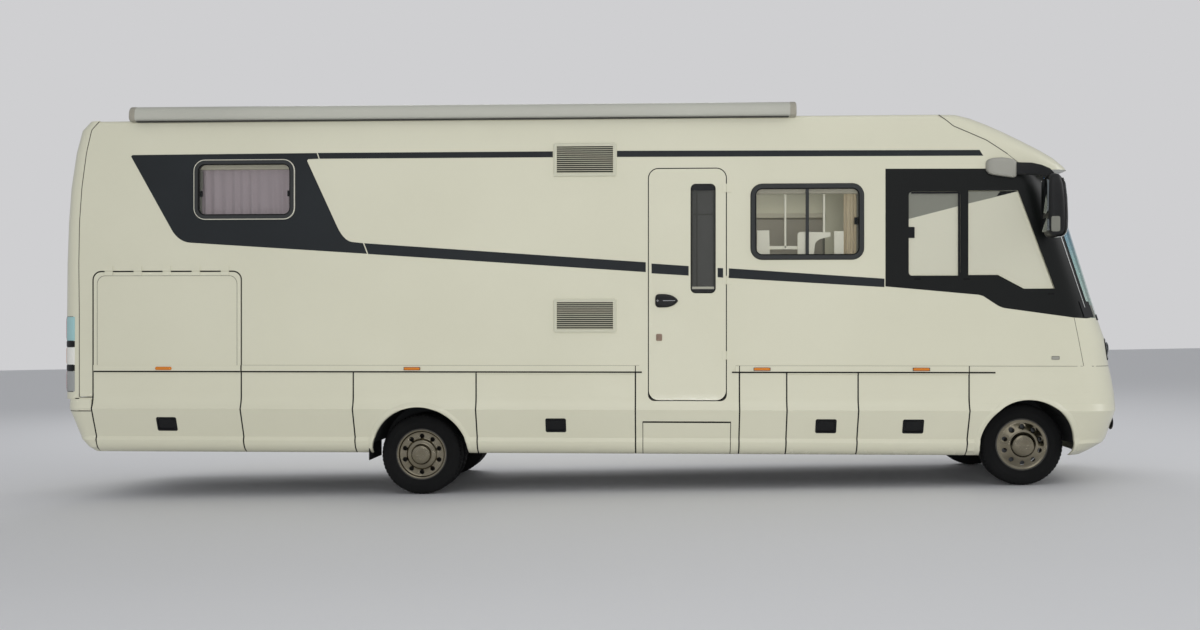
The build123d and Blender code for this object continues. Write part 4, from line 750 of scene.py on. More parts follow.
# Cab windows
# Tempered panes bonded behind the black foil, with shade boards fitted in the openings: cream below, a
# grey one above the slanting edge, and dark in the top front corner. A catch sits at the rear edge.
shade_cream = moulded("cream_shade_board", "lining", "#F1EFD9", 0.6, 2.0, 0.1)
shade_grey = moulded("grey_shade_board", "lining", "#95968A", 0.6, 2.0, 0.1)
slope = (2564.0 - 2335.0) / (3541.0 - 2646.0)


def edge(x):
    """Height of the boards' slanting edge at a station."""
    return 2335.0 + slope * (x - 2646.0)


CAB_BOARDS = [("rear_low", [(2650, 1865), (3067, 1865), (3067, edge(3067)), (2650, edge(2650))], shade_cream),
              ("rear_high", [(2650, edge(2650)), (3067, edge(3067)), (3067, 2559), (2650, 2559)], shade_grey),
              ("front_low", [(3139, 1869), (3381, 1869), (3593, 1755), (3836, 1755), (3541, 2560),
                             (3139, edge(3139))],
               shade_cream),
              ("front_high", [(3139, edge(3139)), (3370, edge(3370)), (3400, 2562), (3139, 2562)],
               shade_grey),
              ("front_corner", [(3370, edge(3370)), (3529, edge(3529)), (3536, 2563), (3400, 2563)],
               gloss_black)]
DRAIN_SLOTS = [(2718, 1835), (3120, 1834), (3810, 1711)]
for side, word in SIDES:
    for name, outline, material in CAB_BOARDS:
        film(f"cab_shade_{name}_{word}", outline, material, slot="lining", side=side, lift=-14, thick=4,
             curved=NOSE_CURVE)
    film(f"cab_window_catch_{word}", rounded(2640, 2696, 2176, 2268, 5), grained_black, side=side, lift=-1.0,
         thick=2.8, bevel=0.8)
    film(f"cab_window_channel_{word}", [(3052, 1864), (3069, 1864), (3069, 2560), (2668, 2560), (2668, 2544),
                                        (3052, 2544)], grained_black, side=side, lift=-1.2, thick=2.4,
         bevel=0.6)
    for number, (x, z) in enumerate(DRAIN_SLOTS):
        film(f"drain_slot_{number}_{word}", rounded(x - 28, x + 28, z - 8, z + 8, 6), SEAL_RUBBER, side=side,
             lift=2.0, thick=2.2, bevel=0.6)

# Entry door, its window, handle and lock, and the sliding step
# A sandwich leaf shut on a black rubber seal. The window is a tall narrow double pane with black printed
# ends and a roller blind's grip bar; the handle is a pointed moulding with a chrome pull line.
DOOR = (489.0, 1133.0, 824.0, 2763.0)
DOOR_CORNER = 80.0
DOOR_PANE = (841.0, 1045.0, 1722.0, 2634.0)
coat(tinted("smoked_acrylic", "#2F302E", 0.35), "entry_door_glass")


def ring_round(box, radius, section, side):
    """A closed section carried round a rounded rectangle: each (outset, rise) pair lies that far outside the
    outline and off the wall's face."""
    return window_ring(box, radius, [(-outset, rise) for outset, rise in section], side)


DOOR_SEAL = [(0.8, -3), (1.5, -0.2), (5.5, 0.5), (9.5, -0.2), (10.8, -3), (10.8, -22), (0.8, -22)]
GARAGE = (-4275.0, -2984.0, 1060.0, 1914.0)
piece("entry_door_seal", *ring_round(DOOR, DOOR_CORNER, DOOR_SEAL, -1), SEAL_RUBBER, sharp=60)
PANE_RIM = [(3, -3), (3, 1.2), (0, 2.2), (-4, 1.6), (-4, -3)]
piece("door_pane_bead", *ring_round(DOOR_PANE, 40.0, PANE_RIM, -1), SEAL_RUBBER, "entry_door", sharp=60)
printed_black = moulded("printed_black_edge", "black_plastic", "#101112", 0.25, 1.5, 0.0)
x0, x1, z0, z1 = DOOR_PANE
BANDS = {"top": np.vstack([[(x0 + 3, z1 - 52)],
                           bend((x1 - 3, z1 - 52), (x1 - 3, z1 - 52), (x1 - 3, z1 - 50), 2),
                           bend((x1 - 3, z1 - 40), (x1 - 3, z1 - 3), (x1 - 40, z1 - 3)),
                           bend((x0 + 40, z1 - 3), (x0 + 3, z1 - 3), (x0 + 3, z1 - 40))]),
         "foot": np.vstack([bend((x0 + 3, z0 + 30), (x0 + 3, z0 + 3), (x0 + 30, z0 + 3)),
                            bend((x1 - 30, z0 + 3), (x1 - 3, z0 + 3), (x1 - 3, z0 + 30))])}
for name, outline in BANDS.items():
    film(f"door_pane_band_{name}", outline, printed_black, "entry_door", lift=-1.4, thick=0.5)
piece("door_blind_bar", *block((x0 + 10, x1 - 10), (-WALL_HALF + 7, -WALL_HALF + 22), (1754, 1776)),
      laminate, "entry_door", slot="frame_plastic", bevel=4)
guides = [block((x, x + 9), (-WALL_HALF + 12, -WALL_HALF + 26), (z0 + 24, z1 - 24))
          for x in (x0 + 8, x0 + 46, x1 - 17)]
piece("door_blind_guides", *joined(guides), rail_grey, "entry_door", bevel=2)
lining_grey = moulded("grey_door_lining", "lining", "#93938E", 0.6)
piece("door_pane_shade", *block((x0 + 2, x1 - 2), (-WALL_HALF + 28, -WALL_HALF + 31), (z0 + 2, z1 - 2)),
      lining_grey, "entry_door")
piece("door_pane_shade_line", *block((x0 + 10, x1 - 14), (-WALL_HALF + 24, -WALL_HALF + 28), (2378, 2388)),
      rail_grey, "entry_door", bevel=1)

# Handle outline: a rounded rear edge that runs out to a blunt point in front
TEARDROP = np.vstack([bend((541, 1672), (541, 1714), (578, 1714)),
                      bend((610, 1714), (700, 1712), (733, 1660)),
                      bend((733, 1654), (700, 1601), (610, 1600)),
                      bend((578, 1600), (541, 1600), (541, 1642))])


def crowned(outline, heights, side=-1):
    """A moulding on the wall: the outline shrinks towards its middle while it rises in a round shoulder."""
    flat = np.asarray(outline, float)
    middle = (flat.max(0) + flat.min(0)) / 2
    reach = (flat.max(0) - flat.min(0)) / 2
    rows = []
    for inset, rise in heights:
        spots = middle + (flat - middle) * (reach - inset) / reach
        rows.append(upright(spots, side * (WALL_HALF + rise)))
    return closed(rows)


SHOULDER = [(0, -2), (0, 9), (1.5, 14), (5, 18), (11, 21), (22, 22.5)]
gloss_handle = moulded("black_glass_filled_nylon", "black_plastic", "#060607", 0.3, 1.0, 0.15)
chrome = finish("bright_chrome_plating", "wheel_steel", "#DDDEDF", {"Metallic": 1.0, "Roughness": 0.12})
bronze = finish("bronze_anodised_aluminium", "wheel_steel", "#9C8676", {"Metallic": 0.6}, (90.0, 2.0),
                (0.3, 0.45))
piece("door_handle", *crowned(TEARDROP, SHOULDER), gloss_handle, "entry_door", sharp=45)
piece("door_handle_line", *block((606, 708), (-WALL_HALF - 24, -WALL_HALF - 21), (1655, 1660)), chrome,
      "entry_door", bevel=1)
piece("door_handle_key", *joined([block((553, 571), (-WALL_HALF - 23, -WALL_HALF - 20.5), (1655, 1660)),
                                  block((560, 565), (-WALL_HALF - 23, -WALL_HALF - 20.5), (1648, 1667))]),
      chrome, "entry_door")
piece("door_dead_lock", *crowned(rounded(550, 600, 1321, 1379, 10), [(0, -2), (0, 5), (3, 8), (8, 9)]),
      bronze, "entry_door", sharp=45)
piece("door_dead_lock_barrel",
      *crowned(rounded(562, 588, 1333, 1367, 8), [(0, 4), (0, 10), (2, 12), (6, 12.5)]), bronze, "entry_door",
      sharp=45)

# The stripe's foil is carried over the leaves of the middle hinge
HINGE_FOILS = [("body", [(1155, 1865.5), (1182, 1865.5), (1182, 1845), (1155, 1847)], "coach_body", 9.8),
               ("leaf", [(1102, 1865.5), (1110, 1865.5), (1110, 1849), (1102, 1850)], "entry_door", 9.3)]
for name, outline, body, lift in HINGE_FOILS:
    film(f"stripe_over_hinge_{name}", outline, foil, body, lift=lift, thick=1.0)

# The step's flap shuts against the panel: a rubber line along its top and ends
STEP_BOX = (441.0, 1171.0)
STEP_TOP = 633.0
heights = np.linspace(STEP_TOP - 1, STEP_TOP + 12, 3)
strips = [side_strip(STEP_BOX[0] - 4, STEP_BOX[1] + 4, heights, -1.6, 18.0, -1)]
for x in (STEP_BOX[0] - 6.5, STEP_BOX[1] + 0.5):
    heights = np.concatenate([np.linspace(STEP_TOP + 6, 500, 3), [468], np.linspace(446, PANEL_FOOT, 6)])
    strips.append(side_strip(x, x + 6, heights, 1.5, 18.0, -1))
piece("entry_step_seal", *joined(strips), SEAL_RUBBER)
tread_black = moulded("ribbed_black_tread", "black_plastic", "#1E1F20", 0.7, 3.0, 0.6)
ribs = [block((493, 1119), (y, y + 14), (599, 603)) for y in np.arange(-1090, -780, 26)]
piece("entry_step_ribs", *joined(ribs), tread_black, "entry_step", bevel=1.5)

# Garage doors
# Sandwich leaves on five bead hinges. A pressed frame runs inside the edge, sealed all round with a fine
# line of sealant; the upper gap is filled with black rubber. An orange marker lamp sits on the belt rail.
GARAGE_RADIUS = 73.0


def span(side, near, far):
    """Two distances from the middle plane on one side, in rising order."""
    return sorted((side * near, side * far))


for side, word in SIDES:
    body = f"garage_door_{word}"
    high = rounded(GARAGE[0], GARAGE[1], 900.0, GARAGE[3], GARAGE_RADIUS)
    upper = high[high[:, 1] > 1000]
    arcs = np.vstack([[(GARAGE[1], PANEL_TOP)], upper, [(GARAGE[0], PANEL_TOP)]])
    centre = np.array([(GARAGE[0] + GARAGE[1]) / 2, PANEL_TOP])
    reach = np.array([(GARAGE[1] - GARAGE[0]) / 2, GARAGE[3] - PANEL_TOP])

    def leaf_row(outset, rise):
        """The leaf's outline, drawn out on all sides and lifted off the wall."""
        return upright(centre + (arcs - centre) * (reach + outset) / reach, side * (WALL_HALF + rise))

    piece(f"garage_seal_{word}", *bead(leaf_row, 0.4, 6.0, -2, -18), SEAL_RUBBER)
    # Between the hinges a painted strip covers the upper half of the gap
    y = span(side, WALL_HALF - 3, WALL_HALF + 0.4)
    covers = [block((x + 72, x + 250.75), y, (1920, 1926.5)) for x in -4170 + 252.75 * np.arange(4)]
    piece(f"garage_hinge_covers_{word}", *joined(covers), WALL_PAINT)
    piece(f"garage_frame_sealant_{word}", *bead(leaf_row, -38.6, -35.4, 1.2, -1), SEALANT, body)


# Marker lamps: orange ribbed lenses on a thin base, along the belt rail
def lamp_lens(name, shade, glow=0.0, rough=0.14, way="Z", rib=14.0):
    """Coloured lens plastic: glossy, with fine ribs drawn at the given spacing in millimetres."""
    return finish(name, "lamp_lens", shade,
                  {"Roughness": rough, "IOR": 1.58, "Emission Color": hue(shade), "Emission Strength": glow},
                  relief=("ShaderNodeTexWave", {"bands_direction": way}, {"Scale": 50 / rib}, 0.5, 0.001))


amber = lamp_lens("amber_polycarbonate_lens", "#C8741C", 0.05, 0.2, "X", 50 / 12)
MARKERS = [("coach_body", -1514.0), ("coach_body", 1433.0), ("coach_body", 2748.0), ("garage_door", -3656.0)]
for body, x in MARKERS:
    for side, word in SIDES:
        carrier = body if body == "coach_body" else f"{body}_{word}"
        lamp = rounded(x - 71, x + 71, 1071, 1099, 13.5)
        shell = [(0, 7.5), (0, 15), (2, 19), (6, 21.5), (11, 22.2)]
        piece(f"marker_lamp_{word}_{int(x)}", *crowned(lamp, shell, side), amber, carrier, sharp=50)

# Roof: awning, refrigerator vents, hatches and seams
# The awning's case is one powder-coated extrusion with rounded end caps, bracketed to the wall's top edge.
# The vents are moulded louvres with a frame. The roof hatches are milky acrylic domes on a cream frame.
AWNING_X = (-3939.0, 1714.0)
AWNING_ENDS = 16.0
CAP_LONG = 52.0
# Section of the case: distance from the wall and height above its foot line
AWNING = np.array([(0, 0), (24, 0), (44, 5), (56, 16), (61, 32), (61, 52), (57, 78), (49, 98), (37, 113),
                   (20, 124), (0, 130), (-30, 129), (-62, 118), (-80, 96), (-82, 70), (-80, 16), (-2, 14)],
                  float)
AWNING_FOOT = 3190.0
AWNING_FALL = 4.0 / (AWNING_X[1] - AWNING_X[0])
powder = finish("powder_coated_extrusion", "awning_aluminium", ("#ACACA2", "#BBBBB0"), {"Roughness": 0.38},
                (0.8, 2.0), relief=gritty(220.0, 1.0, 0.15, 0.0004))
ease = np.sin(np.linspace(0, math.pi / 2, 8))
stations = np.concatenate([AWNING_X[0] + AWNING_ENDS * (1 - np.cos(np.linspace(0, math.pi / 2, 8))),
                           AWNING_X[1] - AWNING_ENDS * (1 - np.cos(np.linspace(math.pi / 2, 0, 8)))])
swell = np.concatenate([0.86 + 0.14 * ease, (0.86 + 0.14 * ease)[::-1]])[:, None]
middle = np.array([-10.0, 62.0])
loop = middle + (AWNING[None] - middle) * swell[..., None]
grid = np.stack([np.broadcast_to(stations[:, None], loop.shape[:2]), -WALL_HALF - loop[..., 0],
                 AWNING_FOOT + loop[..., 1] - AWNING_FALL * (stations[:, None] - AWNING_X[0])], -1)
case = piece("awning_case_extrusion", *closed(grid), powder, sharp=32)
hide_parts("awning_case")
cap_grey = moulded("warm_grey_end_cap", "awning_aluminium", "#9B978A", 0.45, 1.5, 0.2)
caps = []
for tip, way in ((AWNING_X[0], 1), (AWNING_X[1], -1)):
    rows = [tip + way * np.array([-2.0, 4.0, 10.0, CAP_LONG, CAP_LONG + 0.5]),
            np.array([0.84, 0.97, 1.015, 1.015, 0.99])]
    loop = middle + (AWNING[None] - middle) * rows[1][:, None, None]
    sections = np.stack([np.broadcast_to(rows[0][:, None], loop.shape[:2]), -WALL_HALF - loop[..., 0],
                         AWNING_FOOT + loop[..., 1] - AWNING_FALL * (tip - AWNING_X[0])], -1)
    caps.append(closed(sections[::way]))
piece("awning_end_caps", *joined(caps), cap_grey, sharp=32)
# The lead rail is black: partly its own dark colour, partly painted shade for the shadow line under the case.
lip = block((AWNING_X[0] + 62, AWNING_X[1] - 62), (-WALL_HALF - 61, -WALL_HALF - 8), (3183, 3188.5))
piece("awning_lead_rail_and_painted_shadow_line", *lip, grained_black, slot="awning_aluminium", bevel=2)

vent_plastic = moulded("cream_asa_vent", "vent_plastic", "#C4C3AF", 0.5, 1.2, 0.2)
# Louvre plastic: cream at the outer edges of the slats, darkened to near black within 14 mm of the wall's
# depth as painted shade between the slats
louvre, tree = blank("louvre_plastic_painted_shade")
spot = add(tree, "ShaderNodeTexCoord")
parts = add(tree, "ShaderNodeSeparateXYZ", inputs={0: (spot, "Object")})
shift = add(tree, "ShaderNodeMath", {"operation": "ADD"}, {0: (parts, 1), 1: (WALL_HALF - 11) / 1000})
away = add(tree, "ShaderNodeMath", {"operation": "ABSOLUTE"}, {0: (shift, 0)})
unshaded = add(tree, "ShaderNodeMapRange", inputs={"Value": (away, 0), "From Min": 0.011, "From Max": 0.019})
tone = add(tree, "ShaderNodeMix", {"data_type": "RGBA"},
           {0: (unshaded, 0), 6: hue("#1A1916"), 7: hue("#CFCDB8")})
shader = add(tree, "ShaderNodeBsdfPrincipled", inputs={"Base Color": (tone, 2), "Roughness": 0.5})
add(tree, "ShaderNodeOutputMaterial", inputs={"Surface": (shader, 0)})
coat(louvre, "vents_and_hatches")
VENTS = [(-312.0, 214.0, 2705.0, 2983.0), (-312.0, 214.0, 1391.0, 1672.0)]
for number, box in enumerate(VENTS):
    rim = [(-2, -2), (-2, 7), (0, 11), (4, 13.5), (20, 13.5), (23, 11), (23, 2)]
    piece(f"vent_frame_{number}", *window_ring(box, 14.0, rim, -1), vent_plastic, sharp=50)
    x0, x1, z0, z1 = box
    clips = [block((x, x + 26), (-WALL_HALF - 17, -WALL_HALF - 12), (z0 + 6, z0 + 17))
             for x in (x0 + 70, x1 - 96)]
    piece(f"vent_clips_{number}", *joined(clips), vent_plastic, bevel=1.5)
    dark = block((x0 + 22, x1 - 22), (-WALL_HALF + 26, -WALL_HALF + 30), (z0 + 22, z1 - 22))
    piece(f"vent_shadow_box_{number}", *dark, SEAL_RUBBER)

milky = finish("milky_acrylic_dome", "vent_plastic", "#D9DCD8", {"Alpha": 0.85, "Subsurface Weight": 0.15},
               (6.0, 2.0), (0.12, 0.3))
ROOF_TOP = 3204.0
HATCHES = [(-3100.0, 0.0, 700.0), (-900.0, 250.0, 400.0), (1750.0, 0.0, 700.0)]
for number, (x, y, size) in enumerate(HATCHES):
    half_size = size / 2
    skirt = [(0, -2), (0, 20), (-6, 30), (-18, 36), (-40, 36)]
    loops = []
    for outset, rise in skirt + [(-60, 44), (-90, 58), (-130, 70), (-half_size * 0.7, 76),
                                 (-half_size * 0.97, 78)]:
        reach = half_size + outset
        flat = rounded(x - reach, x + reach, y - reach, y + reach, min(60, reach * 0.45))
        loops.append(np.column_stack([flat, np.full(len(flat), ROOF_TOP + rise)]))
    frame_part, dome = np.stack(loops[:6]), np.stack(loops[5:])
    piece(f"hatch_frame_{number}", *closed(frame_part), vent_plastic, sharp=40)
    piece(f"hatch_dome_{number}", *closed(dome), milky, sharp=40)

# Seams: a bead of sealant along the roof cap's edge and along the rear moulding, and a lengthways trim
CAP_LINE = np.array([(2892, 3198), (2954, 3154), (3015, 3104), (3150, 3045), (3285, 2985), (3371, 2928),
                     (3456, 2871), (3550, 2797)], float)
REAR_LINE = np.array([(-4395, 842), (-4395, 1200), (-4395, 1554), (-4399, 1980), (-4393, 2336), (-4372, 2636),
                      (-4331, 2938), (-4286, 3128), (-4222, 3196)], float)


def seam(line, width, high, side):
    """A thin bead on the side along a line of (x, z) points; each point moves across by half the width."""
    share = np.linspace(0, len(line) - 1, 60)
    spots = np.column_stack([np.interp(share, np.arange(len(line)), line[:, i]) for i in (0, 1)])
    way = np.gradient(spots, axis=0)
    across = np.column_stack([-way[:, 1], way[:, 0]]) / np.linalg.norm(way, axis=1)[:, None]

    def row(aside, lift):
        """The line moved across its own run and lifted off the skin."""
        flat = spots + aside * across
        return upright(flat, side * half_width(flat[:, 0], flat[:, 1], lift))

    return bead(row, -width / 2, width / 2, -2, high)


dark_sealant = finish("weathered_sealant", "frame_plastic", "#3F3C35", {"Roughness": 0.6})
for side, word in SIDES:
    piece(f"rear_moulding_seam_{word}", *seam(REAR_LINE, 6.0, 1.0, side), dark_sealant, sharp=60)
    piece(f"roof_cap_seam_{word}", *seam(CAP_LINE, 6.5, 1.2, side), dark_sealant, sharp=60)
    trim = block((-4215, 2880), (side * (WALL_HALF - 118), side * (WALL_HALF - 78)),
                 (ROOF_TOP - 1, ROOF_TOP + 4))
    piece(f"roof_edge_trim_{word}", *trim, powder, bevel=2)

# Mirrors
# A light grey pod under the roof cap, a black arm that reaches forward and down, and a tall black head
# with a silver front edge. The mirror glass faces the rear, with a small wide-angle glass below it.
def swept(sections):
    """Closed sections joined in order: each is a centre, a direction along the width, one along the height,
    half width, half height and a corner exponent; its points follow a superellipse, flatter as it rises."""
    turn = np.linspace(0, 2 * math.pi, 33)[:-1]
    rows = []
    for centre, across, up, wide, high, power in sections:
        c, s = np.cos(turn), np.sin(turn)
        a = wide * np.sign(c) * np.abs(c) ** (2 / power)
        b = high * np.sign(s) * np.abs(s) ** (2 / power)
        rows.append(np.array(centre) + a[:, None] * np.array(across) + b[:, None] * np.array(up))
    return closed(rows)


pod_grey = moulded("light_grey_painted_pod", "ivory_moulding", "#9A9990", 0.35, 1.5, 0.1)
arm_black = moulded("black_mirror_moulding", "black_plastic", "#060708", 0.42, 1.5, 0.2)
silver = finish("silver_lacquered_edge", "wheel_steel", ("#C4C6C4", "#E6E8E6"),
                {"Metallic": 0.5, "Roughness": 0.3}, (300.0, 2.0))
mirror_glass = finish("silvered_mirror_glass", "screen_glass", "#7D8385",
                      {"Metallic": 1.0, "Roughness": 0.04})

# Pod sections along x: station, distance from the wall to its outer face, lower and upper height
POD = [(3276, 8, 2752, 2790), (3282, 34, 2728, 2812), (3298, 52, 2706, 2824), (3330, 62, 2694, 2832),
       (3400, 66, 2682, 2836), (3460, 67, 2674, 2828), (3496, 66, 2669, 2818), (3513, 58, 2676, 2806),
       (3518, 40, 2690, 2796)]
# Arm: station, distance of its middle from the wall, height of its middle, half width, half height
ARM = [(3505, 30, 2745, 22, 52), (3560, 48, 2740, 26, 52), (3620, 84, 2735, 30, 50),
       (3680, 128, 2718, 34, 44), (3730, 166, 2690, 36, 40), (3765, 186, 2650, 34, 34)]
# Head: height, rear and front station, inner and outer distance from the wall
HEAD = [(2163, 3752, 3808, 130, 240), (2170, 3728, 3832, 112, 262), (2190, 3712, 3846, 98, 280),
        (2230, 3704, 3854, 88, 294), (2330, 3701, 3856, 84, 298), (2480, 3699, 3850, 84, 298),
        (2590, 3702, 3838, 88, 294), (2645, 3712, 3822, 98, 280), (2668, 3728, 3804, 112, 262),
        (2677, 3748, 3784, 134, 238)]
for side, word in SIDES:
    sections = [((x, side * (WALL_HALF - 6 + reach / 2 + 3), (low + high) / 2), (0, side, 0), (0, 0, 1),
                 reach / 2 + 3, (high - low) / 2, 4.6) for x, reach, low, high in POD]
    piece(f"mirror_pod_{word}", *swept(sections), pod_grey, sharp=60)
    ways = [(0, side, 0)] * 2 + [(-0.6 * side, 0.8 * side, 0)] * 4
    sections = [((x, side * (WALL_HALF + reach), z), way, (0, 0, 1), wide, high, 3.0)
                for way, (x, reach, z, wide, high) in zip(ways, ARM)]
    arm = piece(f"mirror_arm_{word}", *swept(sections), arm_black, sharp=60)
    sections = [(((rear + front) / 2, side * (WALL_HALF + (near + far) / 2), z), (1, 0, 0), (0, side, 0),
                 (front - rear) / 2, (far - near) / 2, 3.4) for z, rear, front, near, far in HEAD]
    head = piece(f"mirror_head_{word}", *swept(sections), arm_black, sharp=60)
    if side > 0:
        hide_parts("mirrors")

    # Silver edge: a flat ribbon down the outer front corner of the head and round its foot
    path = np.array([(3826, 2640), (3844, 2590), (3857, 2480), (3863, 2330), (3861, 2236), (3851, 2196),
                     (3832, 2171), (3808, 2161), (3775, 2158)], float)
    way = np.gradient(path, axis=0)
    out = np.column_stack([-way[:, 1], way[:, 0]])
    out /= np.linalg.norm(out, axis=1)[:, None]
    out *= np.sign((out * (path - (3780, 2420))).sum(1))[:, None]
    ribbon = [upright(path + shift * out, side * (WALL_HALF + far))
              for shift, far in ((-3, 278), (1.5, 274), (1.5, 210), (-3, 205))]
    piece(f"mirror_edge_{word}", *closed(np.stack(ribbon, 1)), silver, sharp=60, bevel=1)
    plate = swept([((3757, side * (WALL_HALF + far), 2264), (1, 0, 0), (0, 0, 1), wide, wide * 1.75, 7)
                   for far, wide in ((294, 35), (299.5, 35), (301, 33))])
    piece(f"mirror_plate_{word}", *plate, rail_grey, sharp=40)
    for glass, low, high in (("main", 2345, 2640), ("wide_angle", 2200, 2325)):
        middle = side * (WALL_HALF + 191)
        face = swept([((x, middle, (low + high) / 2), (0, side, 0), (0, 0, 1), wide,
                       (high - low) / 2 - 88 + wide, 6)
                      for x, wide in ((3716, 80), (3699, 80), (3697.5, 78))])
        piece(f"mirror_glass_{glass}_{word}", *face, mirror_glass, sharp=40)

# Tyres
# Black radial tyres, single in front and twin at the rear: bulged side walls, square shoulder lugs, two
# pairs of deep grooves round the tread and cross slots between the lugs.
TYRE_HALF = [(203, 69.5), (211, 72.5), (219, 79), (229, 86), (243, 91.5), (259, 95.5), (276, 97.4),
             (280, 97.4), (283, 96.4), (298, 95.6), (313, 92.4), (325, 88), (333, 83.5), (339, 77.5),
             (342, 70), (343.2, 64), (343.6, 57), (336, 55.5), (336, 48.5), (344, 47), (344.4, 38),
             (344.6, 28), (336.6, 26.5), (336.6, 20), (345, 18.5), (345, 9), (345, 0)]
TREAD_STEPS = 360
SHOULDER_LUG = (325, 56)
MIDDLE_RIB = (27, 47.5)
FRONT_HALF_TRACK = 845.0
REAR_HALF_TRACK = 780.0
TWIN_HALF = 118.0
half = np.array(TYRE_HALF, float)
section = np.vstack([half, half[-2::-1] * (1, -1)])


def tyre(axle, y):
    """The section carried round the wheel's axis; every sixth step is pressed in across the shoulder lugs,
    and half a pitch later across the middle ribs."""
    turn = np.arange(TREAD_STEPS)[:, None]
    reach, out = section[None, :, 0], np.abs(section[None, :, 1])
    lug = (reach > SHOULDER_LUG[0]) & (out > SHOULDER_LUG[1]) & (turn % 6 == 0)
    rib = (reach > 340) & (out > MIDDLE_RIB[0]) & (out < MIDDLE_RIB[1]) & (turn % 6 == 3)
    reach = reach - 7.0 * lug - 5.0 * rib
    angle = 2 * math.pi * turn / TREAD_STEPS
    return hoop(np.stack([axle[0] + reach * np.cos(angle), y + section[None, :, 1] + 0 * angle,
                          axle[2] + reach * np.sin(angle)], -1))


tyre_rubber = finish("black_tyre_rubber", "tyre_rubber", ("#090A0B", "#151515"),
                     {"Roughness": 0.78, "Specular IOR Level": 0.25}, (5.0, 6.0),
                     relief=gritty(250.0, 2.0, 0.25, 0.001))
for side, word in SIDES:
    wheel = piece(f"front_tyre_{word}_treaded", *tyre(FRONT_AXLE, side * FRONT_HALF_TRACK), tyre_rubber,
                  f"front_wheel_{word}", sharp=38)
    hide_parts(f"front_tyre_{word}")
    twins = [tyre(REAR_AXLE, side * (REAR_HALF_TRACK + shift)) for shift in (-TWIN_HALF, TWIN_HALF)]
    wheel = piece(f"rear_tyres_{word}_treaded", *joined(twins), tyre_rubber, f"rear_wheels_{word}", sharp=38)
    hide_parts(f"rear_tyres_{word}")

# Wheel covers
# Polished stainless covers pressed over the rims, with ten round hand holes: the front one is domed over the
# hub, the rear one is dished with a stepped cone. Their warm brown tone, in soft patches, is a painted
# reflection.
stainless = finish("polished_stainless_warm_painted_reflection", "wheel_steel", ("#79725F", "#A8A08E"), {"Metallic": 1.0},
                   (8.0, 3.0), (0.12, 0.24))
coat(moulded("dark_painted_wheel", None, "#3A3936", 0.5, 2.0), "front_rim_right", "front_rim_left",
     "rear_rim_right", "rear_rim_left")
FRONT_DOME = [(0, 152), (36, 152), (40, 153.5), (47, 154.5), (53, 153.5), (57, 151.8), (66, 151), (76, 147.5),
              (86, 141), (95, 132), (101, 122), (105, 114.5), (109, 111.8), (114, 111.2), (120, 110),
              (130, 105), (155, 92.4), (180, 79.6), (188, 75.5), (193, 75), (198, 77), (206, 80.2), (213, 82),
              (219, 81)]
REAR_DISH = [(0, 122), (34, 122), (38, 123.4), (46, 124.2), (52, 123), (60, 122), (68, 120.5), (76, 116.5),
             (81, 109), (84, 98), (86, 86), (90, 81.5), (100, 80), (112, 78.6), (119, 76.6), (127, 67),
             (133, 59.4), (140, 57.6), (155, 57.6), (172, 57.6), (188, 57.8), (193, 63), (196, 74),
             (200, 79.8), (207, 81.6), (213, 82), (219, 80.5)]
HAND_HOLES = 10
HOLE_CIRCLE = 155.0


def cover(profile, axle, y, side):
    """A disc with round holes whose distance from the tyre's middle follows the profile by radius."""
    profile = np.array(profile, float)
    turn = np.linspace(0, 2 * math.pi, 97)[:-1]
    circle = np.column_stack([np.cos(turn), np.sin(turn)])
    centres = (np.arange(HAND_HOLES) + 0.5) * 2 * math.pi / HAND_HOLES
    centres = HOLE_CIRCLE * np.column_stack([np.cos(centres), np.sin(centres)])
    holes = [centre + 19.5 * circle[::4] for centre in centres]
    rings = [reach * circle for reach in profile[1:-1, 0]] + [centre + 25 * circle[::4] for centre in centres]
    rings = np.vstack(rings)
    clear = np.min(np.linalg.norm(rings[:, None] - centres[None], axis=2), axis=1) > 24
    flat, faces = filled(219.0 * circle, holes, rings[clear])
    reach = np.hypot(flat[:, 0], flat[:, 1])
    near = np.min(np.linalg.norm(flat[:, None] - centres[None], axis=2), axis=1)
    out = np.interp(reach, profile[:, 0], profile[:, 1]) - 2.5 * (near < 21)
    return np.column_stack([axle[0] + flat[:, 0], y + side * out, axle[2] + flat[:, 1]]), faces


for side, word in SIDES:
    for end, profile, axle, track in (("front", FRONT_DOME, FRONT_AXLE, FRONT_HALF_TRACK),
                                      ("rear", REAR_DISH, REAR_AXLE, REAR_HALF_TRACK + TWIN_HALF)):
        points, faces = cover(profile, axle, side * track, side)
        first = points[faces[0]]
        if np.cross(first[1] - first[0], first[2] - first[0])[1] * side < 0:
            faces = [face[::-1] for face in faces]
        disc = piece(f"{end}_wheel_cover_{word}", points, faces, stainless,
                     f"front_wheel_{word}" if end == "front" else f"rear_wheels_{word}", sharp=50,
                     solid=False)
        thickened(disc, 1.2)

# Windscreen, its trims and wipers
# Laminated glass bonded behind a black printed border; its colour, blue at the top fading to pale green, is a
# painted reflection of the sky. A silver line runs down the pillar, and a black cover and a grey plug close
# the pillar's foot.
SCREEN_TOP = 2738.0
SCREEN_FOOT = 1513.0
SCREEN_SIDE = ((3752.0, SCREEN_TOP), (4165.0, SCREEN_FOOT))
